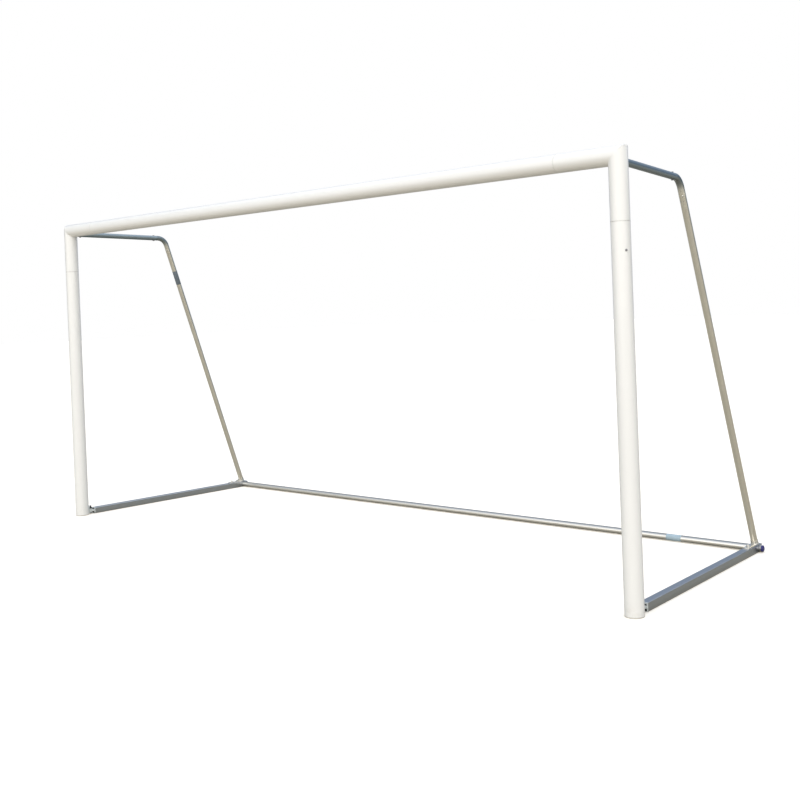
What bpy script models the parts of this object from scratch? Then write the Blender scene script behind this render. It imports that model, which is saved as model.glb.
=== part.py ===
"""Freestanding soccer goal frame, modelled in metres with +Z up.

White posts and crossbar, joined by mitred corner fittings on inner sleeves with spring snap buttons.
Behind each post a grey side frame: top tube, bent stay, square base bar. One ground bar joins the two.
The origin is on the floor, at the middle of the bounding box. +X runs along the crossbar and +Y to the back.
"""

import math

import bmesh
import bpy
from mathutils import Matrix, Vector

# Goal face
OVERALL_WIDTH = 4.877
CLEAR_HEIGHT = 2.134
POST_DIAMETER = 0.095
POST_WALL = 0.0025
CORNER_DROP = 0.3115
CORNER_REACH = 0.336
FOOT_RIM = 0.005
FOOT_PLUG = 0.03

# Side frames: distances behind the post's axis, and how far each point stands inside the post's axis
TUBE_DIAMETER = 0.0381
TUBE_WALL = 0.002
TOP_FRONT_HEIGHT = 2.16
BEND_BEHIND = 0.79
BEND_INSET = 0.10
BEND_HEIGHT = 2.135
BEND_RADIUS = 0.085
GROUND_BEHIND = 1.524
REAR_INSET = 0.075

# Places along the top tube, from the post's axis, and along the stay, from the bend's corner
TOP_TUBE_START = 0.057
TOP_TUBE_END = 0.726
SPIGOT_START = 0.02
SPIGOT_END = 0.165
SPIGOT_WALL = 0.003
SPIGOT_FLOOR = 0.01
TOP_COUPLER = (0.640, 0.7275)
FRONT_BOLT_AT = 0.076
REAR_BOLT_AT = 0.701
BEND_END = 0.1273
STAY_BUTTON_AT = 0.0974
STAY_SLEEVE = (0.070, 0.187)
STAY_BAND = (0.2816, 0.3949)

# Base bars, along their own length from the post's axis
BAR_SIZE = 0.045
BAR_WALL = 0.0025
BAR_CORNER = 0.003
BAR_START = 0.0952
BAR_END = 1.5605
BAR_PLUG_RIM = 0.002
BAR_PLUG_DEPTH = 0.011

# Post bracket: a fork with a vertical bolt, and the bar's tongue between its plates
BRACKET_BOLT_AT = 0.070
BRACKET_BOLT_RADIUS = 0.006
FORK_LEVELS = (0.0085, 0.0345)
FORK_THICKNESS = 0.006
FORK_RADIUS = 0.013
BRACKET_PLATE = (0.040, 0.0525)
BRACKET_PLATE_WIDTH = 0.034
BRACKET_PLATE_TOP = 0.066
TONGUE_LEVELS = (0.0185, 0.0305)
TONGUE_RADIUS = 0.012
BOSS_LEVELS = (0.015, 0.034)
BOSS_RADIUS = 0.010
END_PLATE = 0.004
TONGUE_CORE = 0.015
BRACKET_HEX = 0.018
BRACKET_HEAD_HEIGHT = 0.005
BRACKET_NUT_HEIGHT = 0.0095
BRACKET_BOLT_TIP = 0.022

# Stay foot on the base bar
FOOT_PLATE = (1.385, 1.540)
FOOT_PLATE_WIDTH = 0.036
FOOT_PLATE_THICKNESS = 0.005
FOOT_BOLT_AT = 1.412
FOOT_BOLT_RADIUS = 0.005
FOOT_BOLT_TIP = 0.008
FOOT_HEX = 0.016
FOOT_HEAD_HEIGHT = 0.0064
SOCKET_RADIUS = 0.0215
SOCKET_TOP = 0.072
STAY_END_HEIGHT = 0.0574
WEB_OUTLINE = [(1.436, 0.048), (1.512, 0.048), (1.507, 0.070), (1.492, 0.070)]
WEB_THICKNESS = 0.006

# Domed flange nut on the stay foot
NUT_HEX = 0.017
NUT_SIDES_TOP = 0.010
NUT_FLANGE_RADIUS = 0.012
NUT_FLANGE_TOP = 0.002
NUT_DOME_RADIUS = 0.0075
NUT_DOME_BASE = 0.0095
NUT_DOME_HEIGHT = 0.006
NUT_BORE_TOP = 0.009

# Ground bar
GROUND_BAR_HALF = 2.3535
CAP_LENGTH = 0.0125
CAP_SHOULDER = 0.006
CAP_PLUG = 0.015
GROUND_BAND = (1.748, 1.847)
BAND_THICKNESS = 0.0004

# Snap buttons. A leaf has its level under the button, its level at its anchor, width, length and thickness.
DOME_SHARE = 0.6
LEAF_STEP = 0.55
POST_BUTTON_RADIUS = 0.006
POST_BUTTON_PROUD = 0.0035
POST_LEAF = (0.0355, 0.0402, 0.014, 0.070, 0.0012)
POST_BUTTON_HEIGHT = 1.732
POST_BUTTON_ANGLE = math.radians(31)
CROSSBAR_BUTTON_AT = 1.935
STAY_BUTTON_RADIUS = 0.005
STAY_BUTTON_PROUD = 0.003
STAY_LEAF = (0.0090, 0.0126, 0.008, 0.050, 0.001)
STAY_BUTTON_ANGLE = math.radians(62)
POST_SLEEVE = (1.70, 1.985)
CROSSBAR_SLEEVE = (1.905, 2.165)

# Through-bolts of the top tube: low heads and thin nuts
SMALL_BOLT_RADIUS = 0.004
SMALL_HEX = 0.013
SMALL_HEAD_HEIGHT = 0.0032
SMALL_NUT_HEIGHT = 0.0038
SMALL_BOLT_TIP = 0.0045

# Clearances between neighbours that touch on the real frame
GAP = 0.0003
FIT = 0.0006
HOLE_CLEARANCE = 0.0005
SEAM = 0.0005

# Spans of the cutters, each longer than the wall or stack that it passes through
POST_WALL_CUT = (0.04, 0.055)
STAY_WALL_CUT = (0.012, 0.03)
FOOT_BOLT_CUT = (0.035, 0.056)
BRACKET_CUT = (-0.01, 0.1)
TOP_TUBE_CUT = (-0.03, 0.03)
ENVELOPE_LEG = 0.2
OVERLAP = 0.002

# Facets
POST_SIDES = 32
TUBE_SIDES = 24
SMALL_SIDES = 12
HOLE_SIDES = 16
BEND_RESOLUTION = 10
ARC_STEPS = 6

# Worked out from the above
POST_RADIUS = POST_DIAMETER / 2
TUBE_RADIUS = TUBE_DIAMETER / 2
SLEEVE_RADIUS = POST_RADIUS - POST_WALL - FIT
COUPLER_RADIUS = TUBE_RADIUS - TUBE_WALL - HOLE_CLEARANCE
POST_X = OVERALL_WIDTH / 2 - POST_RADIUS
CROSSBAR_Z = CLEAR_HEIGHT + POST_RADIUS
SEAM_Z = CROSSBAR_Z - CORNER_DROP
SEAM_X = POST_X - CORNER_REACH
TOE = math.atan2(REAR_INSET, GROUND_BEHIND)
REAR_Y = (BAR_END + BAR_PLUG_RIM) * math.cos(TOE) + BAR_SIZE / 2 * math.sin(TOE)
POST_Y = (POST_RADIUS - REAR_Y) / 2
BAR_Z = BAR_SIZE / 2
FOOT_PLATE_Z = BAR_SIZE + GAP
FOOT_PLATE_TOP = FOOT_PLATE_Z + FOOT_PLATE_THICKNESS
SIDES = {"left": -1, "right": 1}

COLOURS = {
    "white_paint": ((0.86, 0.86, 0.84), 0.4, 0.0),
    "galvanised_steel": ((0.46, 0.48, 0.49), 0.45, 1.0),
    "zinc_hardware": ((0.30, 0.31, 0.33), 0.35, 1.0),
    "spring_steel": ((0.55, 0.56, 0.58), 0.25, 1.0),
    "blue_plastic": ((0.02, 0.02, 0.16), 0.35, 0.0),
    "black_plastic": ((0.03, 0.03, 0.035), 0.5, 0.0),
    "ivory_plastic": ((0.75, 0.74, 0.70), 0.5, 0.0),
    "slate_band": ((0.22, 0.27, 0.30), 0.5, 0.0),
    "pale_blue_band": ((0.45, 0.58, 0.70), 0.5, 0.0),
}


# ---------------------------------------------------------------- scene


def clear_scene():
    for obj in list(bpy.data.objects):
        bpy.data.objects.remove(obj)


def new_collection(name):
    collection = bpy.data.collections.new(name)
    bpy.context.scene.collection.children.link(collection)
    return collection


def new_material(name, finish):
    """A Principled BSDF with this finish; each sub-part has one of its own."""
    colour, roughness, metallic = COLOURS[finish]
    material = bpy.data.materials.new(name)
    material.use_nodes = True
    shader = material.node_tree.nodes["Principled BSDF"]
    shader.inputs["Base Color"].default_value = (*colour, 1.0)
    shader.inputs["Roughness"].default_value = roughness
    shader.inputs["Metallic"].default_value = metallic
    return material


def add(name, mesh, finish=None):
    """Puts a mesh in the scene: a sub-part where a finish is given, and otherwise a cutter."""
    obj = bpy.data.objects.new(name, mesh)
    if finish:
        PARTS.objects.link(obj)
        mesh.materials.append(new_material(name, finish))
    else:
        CUTTERS.objects.link(obj)
        obj.hide_render = True
        obj.display_type = "WIRE"
    return obj


def mesh_from(name, bm):
    bmesh.ops.recalc_face_normals(bm, faces=bm.faces)
    mesh = bpy.data.meshes.new(name)
    bm.to_mesh(mesh)
    bm.free()
    return mesh


def stand(obj, origin, along, across=None):
    """Places an object with its Z along one direction and, where given, its X near another."""
    z = Vector(along).normalized()
    if across is None:
        across = Vector((0, 0, 1)) if abs(z.z) < 0.9 else Vector((1, 0, 0))
    x = Vector(across) - z * z.dot(Vector(across))
    x.normalize()
    turn = Matrix((x, z.cross(x), z)).transposed()
    obj.location = origin
    obj.rotation_euler = turn.to_euler()
    return obj


def cut(obj, cutter, operation="DIFFERENCE"):
    modifier = obj.modifiers.new(operation.title(), "BOOLEAN")
    modifier.operation = operation
    modifier.solver = "EXACT"
    modifier.object = cutter
    return obj


def join(obj, other):
    return cut(obj, other, "UNION")


def solidify(obj, thickness):
    modifier = obj.modifiers.new("Wall", "SOLIDIFY")
    modifier.thickness = thickness
    modifier.offset = -1
    modifier.use_even_offset = True
    return obj


# ---------------------------------------------------------------- shapes


def turned(name, profile, sides, finish=None, closed=False):
    """A solid of revolution about Z. The profile's (radius, height) points run down its outer side."""
    points = [(radius, 0, height) for radius, height in profile]
    edges = [(i, i + 1) for i in range(len(points) - 1)]
    if closed:
        edges.append((len(points) - 1, 0))
    mesh = bpy.data.meshes.new(name)
    mesh.from_pydata(points, edges, [])
    obj = add(name, mesh, finish)
    screw = obj.modifiers.new("Turn", "SCREW")
    screw.steps = sides
    screw.render_steps = sides
    screw.use_merge_vertices = True
    screw.merge_threshold = 0.0001
    screw.use_smooth_shade = True
    return obj


def tube(name, radius, wall, low, high, sides, finish):
    inner = radius - wall
    profile = [(radius, high), (radius, low), (inner, low), (inner, high)]
    return turned(name, profile, sides, finish, closed=True)


def rod(name, radius, low, high, sides=SMALL_SIDES, finish=None):
    return turned(name, [(0, high), (radius, high), (radius, low), (0, low)], sides, finish)


def dome_profile(radius, base, height, steps=4):
    """Points of a quarter ellipse, from its top on the axis down to its rim."""
    angles = [math.pi / 2 * i / steps for i in range(steps + 1)]
    return [(radius * math.sin(a), base + height * math.cos(a)) for a in angles]


def box(name, low, high, finish=None):
    bm = bmesh.new()
    bmesh.ops.create_cube(bm, size=1)
    size = Vector(high) - Vector(low)
    bmesh.ops.scale(bm, vec=size, verts=bm.verts)
    bmesh.ops.translate(bm, vec=(Vector(low) + Vector(high)) / 2, verts=bm.verts)
    return add(name, mesh_from(name, bm), finish)


def hexagon(name, across_flats, low, high, finish=None):
    bm = bmesh.new()
    radius = across_flats / 2 / math.cos(math.pi / 6)
    bmesh.ops.create_cone(bm, cap_ends=True, segments=6, radius1=radius, radius2=radius, depth=high - low)
    bmesh.ops.translate(bm, vec=(0, 0, (low + high) / 2), verts=bm.verts)
    return add(name, mesh_from(name, bm), finish)


def plate(name, outline, low, high, finish=None):
    """A flat outline given in X and Y, standing between two heights."""
    curve = bpy.data.curves.new(name, "CURVE")
    curve.dimensions = "2D"
    curve.fill_mode = "BOTH"
    curve.extrude = (high - low) / 2
    spline = curve.splines.new("POLY")
    spline.points.add(len(outline) - 1)
    spline.use_cyclic_u = True
    for point, (x, y) in zip(spline.points, outline):
        point.co = (x, y, 0, 1)
    mesh = mesh_of_curve(name, curve)
    mesh.transform(Matrix.Translation((0, 0, (low + high) / 2)))
    return add(name, mesh, finish)


def mesh_of_curve(name, curve):
    """The curve's evaluated mesh, with its caps welded on and its faces pointing out."""
    guide = bpy.data.objects.new(name + "_guide", curve)
    CUTTERS.objects.link(guide)
    graph = bpy.context.evaluated_depsgraph_get()
    mesh = bpy.data.meshes.new_from_object(guide.evaluated_get(graph))
    bpy.data.objects.remove(guide)
    bm = bmesh.new()
    bm.from_mesh(mesh)
    bmesh.ops.remove_doubles(bm, verts=bm.verts, dist=0.00001)
    bpy.data.meshes.remove(mesh)
    return mesh_from(name, bm)


def round_ended(half_width, start, centre, steps=8):
    """A strip along Y from start to a rounded end about centre."""
    way = 1 if centre > start else -1
    outline = [(half_width * way, start)]
    for i in range(steps + 1):
        angle = math.pi * i / steps
        outline.append((half_width * way * math.cos(angle), centre + half_width * way * math.sin(angle)))
    outline.append((-half_width * way, start))
    return outline


def square_tube(name, size, wall, low, high, finish):
    """A square tube along Y with rounded long edges."""
    bm = bmesh.new()
    bmesh.ops.create_cube(bm, size=1)
    ends = [f for f in bm.faces if abs(f.normal.y) > 0.5]
    bmesh.ops.delete(bm, geom=ends, context="FACES_ONLY")
    bmesh.ops.scale(bm, vec=(size, high - low, size), verts=bm.verts)
    bmesh.ops.translate(bm, vec=(0, (low + high) / 2, size / 2), verts=bm.verts)
    long_edges = [e for e in bm.edges if abs(e.verts[0].co.y - e.verts[1].co.y) > size]
    bmesh.ops.bevel(bm, geom=long_edges, offset=BAR_CORNER, segments=3, profile=0.5, affect="EDGES")
    return solidify(add(name, mesh_from(name, bm), finish), wall)


def elbow(name, radius, drop, reach, side, finish=None):
    """A mitred elbow about its corner, one leg down and one along X.

    With a finish it is an open skin, ready for a wall. Without one it is a cutter with closed ends.
    """
    bm = bmesh.new()
    bmesh.ops.create_circle(bm, segments=POST_SIDES, radius=radius)
    mitre = list(bm.edges)
    for vertex in bm.verts:
        vertex.co.z = side * vertex.co.x
    down = bmesh.ops.extrude_edge_only(bm, edges=mitre)["geom"]
    for vertex in (v for v in down if isinstance(v, bmesh.types.BMVert)):
        vertex.co.z = -drop
    inward = bmesh.ops.extrude_edge_only(bm, edges=mitre)["geom"]
    for vertex in (v for v in inward if isinstance(v, bmesh.types.BMVert)):
        vertex.co.x = -side * reach
    if finish is None:
        bmesh.ops.holes_fill(bm, edges=bm.edges)
    return add(name, mesh_from(name, bm), finish)


# ---------------------------------------------------------------- places on one side


class Side:
    """The lines that the pieces on one side lie on, for side -1 on the left and 1 on the right."""

    def __init__(self, name, sign):
        self.name = name
        self.sign = sign
        self.top_front = self.point(0, 0, TOP_FRONT_HEIGHT)
        self.bend = self.point(BEND_INSET, BEND_BEHIND, BEND_HEIGHT)
        self.foot = self.point(REAR_INSET, GROUND_BEHIND, BAR_Z)
        self.top_way = (self.bend - self.top_front).normalized()
        self.stay_way = (self.foot - self.bend).normalized()
        self.top_up = Vector((0, 0, 1)) - self.top_way * self.top_way.z
        self.top_up.normalize()
        self.frame = bpy.data.objects.new(f"{name}_side_frame", None)
        PARTS.objects.link(self.frame)
        self.frame.location = self.point(0, 0, 0)
        self.frame.rotation_euler = (0, 0, sign * TOE)

    def point(self, inset, behind, height):
        return Vector((self.sign * (POST_X - inset), POST_Y + behind, height))

    def on_bar(self, obj):
        """Puts a piece made in the side frame's own axes, +Y along the base bar, in its place."""
        obj.parent = self.frame
        return obj

    def on_top(self, obj):
        return stand(obj, self.top_front, self.top_way)

    def on_stay(self, obj):
        return stand(obj, self.bend, self.stay_way)


# ---------------------------------------------------------------- goal face


def snap_button(name, origin, outward, along, radius, tip, leaf):
    """A domed button on a leaf. Its local Z is its own line of travel, counted from the tube's axis."""
    base, anchor_level, leaf_width, leaf_length, leaf_thickness = leaf
    dome = radius * DOME_SHARE
    profile = dome_profile(radius, tip - dome, dome) + [(radius, base), (0, base)]
    button = stand(turned(name, profile, SMALL_SIDES, "spring_steel"), origin, outward, along)
    bm = bmesh.new()
    bmesh.ops.create_grid(bm, x_segments=4, y_segments=1, size=0.5)
    bmesh.ops.scale(bm, vec=(leaf_length, leaf_width, 1), verts=bm.verts)
    bmesh.ops.translate(bm, vec=(leaf_length / 2 - leaf_width / 2, 0, base), verts=bm.verts)
    for vertex in bm.verts:
        if vertex.co.x > leaf_length * LEAF_STEP:
            vertex.co.z = anchor_level
    strip = solidify(add(name + "_leaf", mesh_from(name + "_leaf", bm)), leaf_thickness)
    join(button, stand(strip, origin, outward, along))
    return button


def button_hole(name, origin, outward, radius, span):
    return stand(rod(name, radius + HOLE_CLEARANCE, *span, HOLE_SIDES), origin, outward)


def big_button(name, origin, outward, along):
    tip = POST_RADIUS + POST_BUTTON_PROUD
    return snap_button(name, origin, outward, along, POST_BUTTON_RADIUS, tip, POST_LEAF)


def posts_and_corner(side):
    name, sign = side.name, side.sign
    axis = side.point(0, 0, 0)
    outward = Vector((sign * math.cos(POST_BUTTON_ANGLE), -math.sin(POST_BUTTON_ANGLE), 0))
    button_at = axis + Vector((0, 0, POST_BUTTON_HEIGHT))
    label = f"{name}_post_button_hole"
    hole = button_hole(label, button_at, outward, POST_BUTTON_RADIUS, POST_WALL_CUT)

    foot = [(0, FOOT_PLUG), (SLEEVE_RADIUS, FOOT_PLUG), (SLEEVE_RADIUS, FOOT_RIM)]
    foot += [(POST_RADIUS, FOOT_RIM), (POST_RADIUS, 0), (0, 0)]
    turned(f"{name}_post_foot", foot, POST_SIDES, "ivory_plastic").location = axis

    low, high = FOOT_RIM + GAP, SEAM_Z - SEAM
    post = tube(f"{name}_post", POST_RADIUS, POST_WALL, low, high, POST_SIDES, "white_paint")
    post.location = axis
    cut(post, hole)
    low, high = POST_SLEEVE
    label = f"{name}_post_sleeve"
    sleeve = tube(label, SLEEVE_RADIUS, POST_WALL, low, high, POST_SIDES, "galvanised_steel")
    sleeve.location = axis
    cut(sleeve, hole)
    big_button(f"{name}_post_button", button_at, outward, (0, 0, 1))

    corner = elbow(f"{name}_corner", POST_RADIUS, CORNER_DROP, CORNER_REACH, sign, "white_paint")
    solidify(corner, POST_WALL)
    corner.location = side.point(0, 0, CROSSBAR_Z)


def crossbar_and_sleeves():
    way = Vector((1, 0, 0))
    centre = Vector((0, POST_Y, CROSSBAR_Z))
    half = SEAM_X - SEAM
    bar = tube("crossbar", POST_RADIUS, POST_WALL, -half, half, POST_SIDES, "white_paint")
    stand(bar, centre, way)
    for name, sign in SIDES.items():
        button_at = centre + way * sign * CROSSBAR_BUTTON_AT
        back = Vector((0, 1, 0))
        label = f"{name}_crossbar_button_hole"
        hole = button_hole(label, button_at, back, POST_BUTTON_RADIUS, POST_WALL_CUT)
        low, high = CROSSBAR_SLEEVE
        label = f"{name}_crossbar_sleeve"
        sleeve = tube(label, SLEEVE_RADIUS, POST_WALL, low, high, POST_SIDES, "galvanised_steel")
        stand(sleeve, centre, way * sign)
        cut(sleeve, hole)
        cut(bar, hole)
        big_button(f"{name}_crossbar_button", button_at, back, way * sign)


# ---------------------------------------------------------------- base bars and their brackets


def base_bar(side, ground_hole):
    name = side.name
    bar = square_tube(f"{name}_base_bar", BAR_SIZE, BAR_WALL, BAR_START, BAR_END, "galvanised_steel")
    cut(side.on_bar(bar), ground_hole)
    label = f"{name}_foot_bolt_hole"
    bolt_hole = rod(label, FOOT_BOLT_RADIUS + HOLE_CLEARANCE, *FOOT_BOLT_CUT, HOLE_SIDES)
    bolt_hole.location = (0, FOOT_BOLT_AT, 0)
    cut(bar, side.on_bar(bolt_hole))

    half = BAR_SIZE / 2
    rim = (half, BAR_END + BAR_PLUG_RIM, BAR_SIZE)
    plug = box(f"{name}_bar_plug", (-half, BAR_END + GAP, 0), rim, "black_plastic")
    inner = half - BAR_WALL - FIT
    core_low = (-inner, BAR_END - BAR_PLUG_DEPTH, BAR_Z - inner)
    core = box(f"{name}_bar_plug_core", core_low, (inner, BAR_END + BAR_PLUG_RIM / 2, BAR_Z + inner))
    join(side.on_bar(plug), side.on_bar(core))
    return bolt_hole


def bar_tongue(side, bolt_hole):
    """The plate that closes the bar's front end, with the tongue that the post bracket holds."""
    name = side.name
    half = BAR_SIZE / 2
    plate_end = BAR_START - GAP
    plate_start = plate_end - END_PLATE
    far_corner = (half, plate_end, BAR_SIZE)
    piece = box(f"{name}_bar_tongue", (-half, plate_start, 0), far_corner, "galvanised_steel")
    strip = round_ended(TONGUE_RADIUS, plate_start + END_PLATE / 2, BRACKET_BOLT_AT)
    tongue = plate(f"{name}_tongue_plate", strip, *TONGUE_LEVELS)
    boss = rod(f"{name}_tongue_boss", BOSS_RADIUS, *BOSS_LEVELS, HOLE_SIDES)
    boss.location = (0, BRACKET_BOLT_AT, 0)
    inner = half - BAR_WALL - FIT
    core_low = (-inner, plate_end - END_PLATE / 2, BAR_Z - inner)
    core = box(f"{name}_tongue_core", core_low, (inner, plate_end + TONGUE_CORE, BAR_Z + inner))
    side.on_bar(piece)
    for other in (tongue, boss, core):
        join(piece, side.on_bar(other))
    cut(piece, bolt_hole)


def post_bracket(side, bolt_hole):
    """A saddle on the back of the post with two fork plates."""
    name = side.name
    half = BRACKET_PLATE_WIDTH / 2
    start, end = BRACKET_PLATE
    near_corner = (-half, start, FORK_LEVELS[0])
    far_corner = (half, end, BRACKET_PLATE_TOP)
    piece = box(f"{name}_post_bracket", near_corner, far_corner, "zinc_hardware")
    side.on_bar(piece)
    for level in FORK_LEVELS:
        strip = round_ended(FORK_RADIUS, start + OVERLAP, BRACKET_BOLT_AT)
        fork = plate(f"{name}_fork", strip, level, level + FORK_THICKNESS)
        join(piece, side.on_bar(fork))
    post = rod(f"{name}_post_envelope", POST_RADIUS + HOLE_CLEARANCE, *BRACKET_CUT, 2 * POST_SIDES)
    cut(piece, side.on_bar(post))
    cut(piece, bolt_hole)


def bracket_fasteners(side):
    name = side.name
    centre = (0, BRACKET_BOLT_AT, 0)
    under = FORK_LEVELS[0] - GAP
    over = FORK_LEVELS[1] + FORK_THICKNESS + GAP
    low, high = under - OVERLAP, over + BRACKET_BOLT_TIP
    bolt = rod(f"{name}_bracket_bolt", BRACKET_BOLT_RADIUS, low, high, HOLE_SIDES, "zinc_hardware")
    head = hexagon(f"{name}_bracket_head", BRACKET_HEX, under - BRACKET_HEAD_HEIGHT, under)
    nut = hexagon(f"{name}_bracket_nut", BRACKET_HEX, over, over + BRACKET_NUT_HEIGHT, "zinc_hardware")
    bore = rod(f"{name}_bracket_bore", BRACKET_BOLT_RADIUS + HOLE_CLEARANCE, *BRACKET_CUT, HOLE_SIDES)
    for obj in (bolt, head, nut, bore):
        obj.location = centre
        side.on_bar(obj)
    join(bolt, head)
    cut(nut, bore)


def front_bracket(side):
    radius = BRACKET_BOLT_RADIUS + HOLE_CLEARANCE
    hole = rod(f"{side.name}_bracket_hole", radius, *BRACKET_CUT, HOLE_SIDES)
    hole.location = (0, BRACKET_BOLT_AT, 0)
    side.on_bar(hole)
    post_bracket(side, hole)
    bar_tongue(side, hole)
    bracket_fasteners(side)


# ---------------------------------------------------------------- top tube, bend and stay


def through_bolt(side, label, at):
    """A bolt down through the top tube, its nut, and the hole that both need."""
    name = f"{side.name}_top_{label}"
    centre = side.top_front + side.top_way * at
    reach = TUBE_RADIUS + GAP
    hole = rod(f"{name}_hole", SMALL_BOLT_RADIUS + HOLE_CLEARANCE, *TOP_TUBE_CUT, HOLE_SIDES)
    low, high = -reach - SMALL_BOLT_TIP, reach + SMALL_HEAD_HEIGHT / 2
    bolt = rod(f"{name}_bolt", SMALL_BOLT_RADIUS, low, high, SMALL_SIDES, "zinc_hardware")
    head = hexagon(f"{name}_head", SMALL_HEX, reach, reach + SMALL_HEAD_HEIGHT)
    nut = hexagon(f"{name}_nut", SMALL_HEX, -reach - SMALL_NUT_HEIGHT, -reach, "zinc_hardware")
    for obj in (hole, bolt, head, nut):
        stand(obj, centre, side.top_up, side.top_way)
    join(bolt, head)
    cut(nut, hole)
    return hole


def top_spigot(side, bolt_hole):
    """A stub behind the corner fitting that the top tube slides over."""
    name = side.name
    collar = TUBE_RADIUS - GAP
    step = TOP_TUBE_START - GAP
    bore = COUPLER_RADIUS - SPIGOT_WALL
    floor = step + SPIGOT_FLOOR
    profile = [(COUPLER_RADIUS, SPIGOT_END), (COUPLER_RADIUS, step), (collar, step)]
    profile += [(collar, SPIGOT_START), (0, SPIGOT_START), (0, floor), (bore, floor), (bore, SPIGOT_END)]
    spigot = side.on_top(turned(f"{name}_top_spigot", profile, TUBE_SIDES, "white_paint", closed=True))
    radius = POST_RADIUS + HOLE_CLEARANCE
    envelope = elbow(f"{name}_corner_envelope", radius, ENVELOPE_LEG, ENVELOPE_LEG, side.sign)
    envelope.location = side.point(0, 0, CROSSBAR_Z)
    cut(spigot, envelope)
    cut(spigot, bolt_hole)


def bend_path(side):
    """Points along the bent tube's centre line, from the top tube's end to the stay."""
    corner = side.bend
    turn = side.top_way.angle(side.stay_way)
    tangent = BEND_RADIUS * math.tan(turn / 2)
    seam = (corner - side.top_front).length - TOP_TUBE_END - GAP
    inward = (side.stay_way - side.top_way).normalized()
    centre = corner + inward * (BEND_RADIUS / math.cos(turn / 2))
    start = corner - side.top_way * tangent
    axis = side.top_way.cross(side.stay_way).normalized()
    path = [corner - side.top_way * seam]
    for i in range(ARC_STEPS + 1):
        spin = Matrix.Rotation(turn * i / ARC_STEPS, 4, axis)
        path.append(centre + spin @ (start - centre))
    path.append(corner + side.stay_way * BEND_END)
    return path


def bent_tube(side):
    """The bent tube, as an open skin with a wall."""
    name = f"{side.name}_stay_bend"
    path = bend_path(side)
    curve = bpy.data.curves.new(name, "CURVE")
    curve.dimensions = "3D"
    curve.bevel_depth = TUBE_RADIUS
    curve.bevel_resolution = BEND_RESOLUTION
    spline = curve.splines.new("POLY")
    spline.points.add(len(path) - 1)
    for point, place in zip(spline.points, path):
        point.co = (*place, 1)
    return solidify(add(name, mesh_of_curve(name, curve), "galvanised_steel"), TUBE_WALL)


def stay_and_bend(side):
    name = side.name
    front_hole = through_bolt(side, "front", FRONT_BOLT_AT)
    rear_hole = through_bolt(side, "rear", REAR_BOLT_AT)
    low, high = TOP_TUBE_START, TOP_TUBE_END
    top = tube(f"{name}_top_tube", TUBE_RADIUS, TUBE_WALL, low, high, TUBE_SIDES, "galvanised_steel")
    side.on_top(top)
    cut(top, front_hole)
    cut(top, rear_hole)
    low, high = TOP_COUPLER
    label = f"{name}_top_coupler"
    coupler = tube(label, COUPLER_RADIUS, TUBE_WALL, low, high, TUBE_SIDES, "galvanised_steel")
    cut(side.on_top(coupler), rear_hole)
    top_spigot(side, front_hole)

    button_at = side.bend + side.stay_way * STAY_BUTTON_AT
    outward = Vector((math.cos(STAY_BUTTON_ANGLE), -math.sin(STAY_BUTTON_ANGLE), 0))
    outward -= side.stay_way * side.stay_way.dot(outward)
    label = f"{name}_stay_button_hole"
    hole = button_hole(label, button_at, outward, STAY_BUTTON_RADIUS, STAY_WALL_CUT)
    cut(bent_tube(side), hole)
    low, high = STAY_SLEEVE
    label = f"{name}_stay_sleeve"
    sleeve = tube(label, COUPLER_RADIUS, TUBE_WALL, low, high, TUBE_SIDES, "galvanised_steel")
    cut(side.on_stay(sleeve), hole)
    tip = TUBE_RADIUS + STAY_BUTTON_PROUD
    label = f"{name}_stay_button"
    snap_button(label, button_at, outward, side.stay_way, STAY_BUTTON_RADIUS, tip, STAY_LEAF)

    low, high = BEND_END + SEAM, (BEND_HEIGHT - STAY_END_HEIGHT) / -side.stay_way.z
    stay = tube(f"{name}_stay", TUBE_RADIUS, TUBE_WALL, low, high, TUBE_SIDES, "galvanised_steel")
    side.on_stay(stay)


def stay_foot(side, bolt_hole):
    """A plate on the base bar with a socket for the stay's end and a web in front of it."""
    name = side.name
    low, high = FOOT_PLATE
    half = FOOT_PLATE_WIDTH / 2
    far_corner = (half, high, FOOT_PLATE_TOP)
    piece = box(f"{name}_stay_foot", (-half, low, FOOT_PLATE_Z), far_corner, "galvanised_steel")
    side.on_bar(piece)
    way = -side.stay_way
    socket_length = (SOCKET_TOP - BAR_Z) / way.z
    socket = rod(f"{name}_foot_socket", SOCKET_RADIUS, 0, socket_length, TUBE_SIDES)
    join(piece, stand(socket, side.foot, way))
    web = plate(f"{name}_foot_web", WEB_OUTLINE, -WEB_THICKNESS / 2, WEB_THICKNESS / 2)
    upright = Matrix.Rotation(math.pi / 2, 3, "Z") @ Matrix.Rotation(math.pi / 2, 3, "X")
    web.rotation_euler = upright.to_euler()
    join(piece, side.on_bar(web))
    near_corner = (-BAR_SIZE, low - BAR_SIZE, -BAR_SIZE)
    below = box(f"{name}_bar_envelope", near_corner, (BAR_SIZE, high + BAR_SIZE, FOOT_PLATE_Z))
    cut(piece, side.on_bar(below))
    bore_start = (STAY_END_HEIGHT - GAP - BAR_Z) / way.z
    bore = rod(f"{name}_foot_bore", TUBE_RADIUS + HOLE_CLEARANCE, bore_start, ENVELOPE_LEG, TUBE_SIDES)
    cut(piece, stand(bore, side.foot, way))
    cut(piece, bolt_hole)


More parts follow.
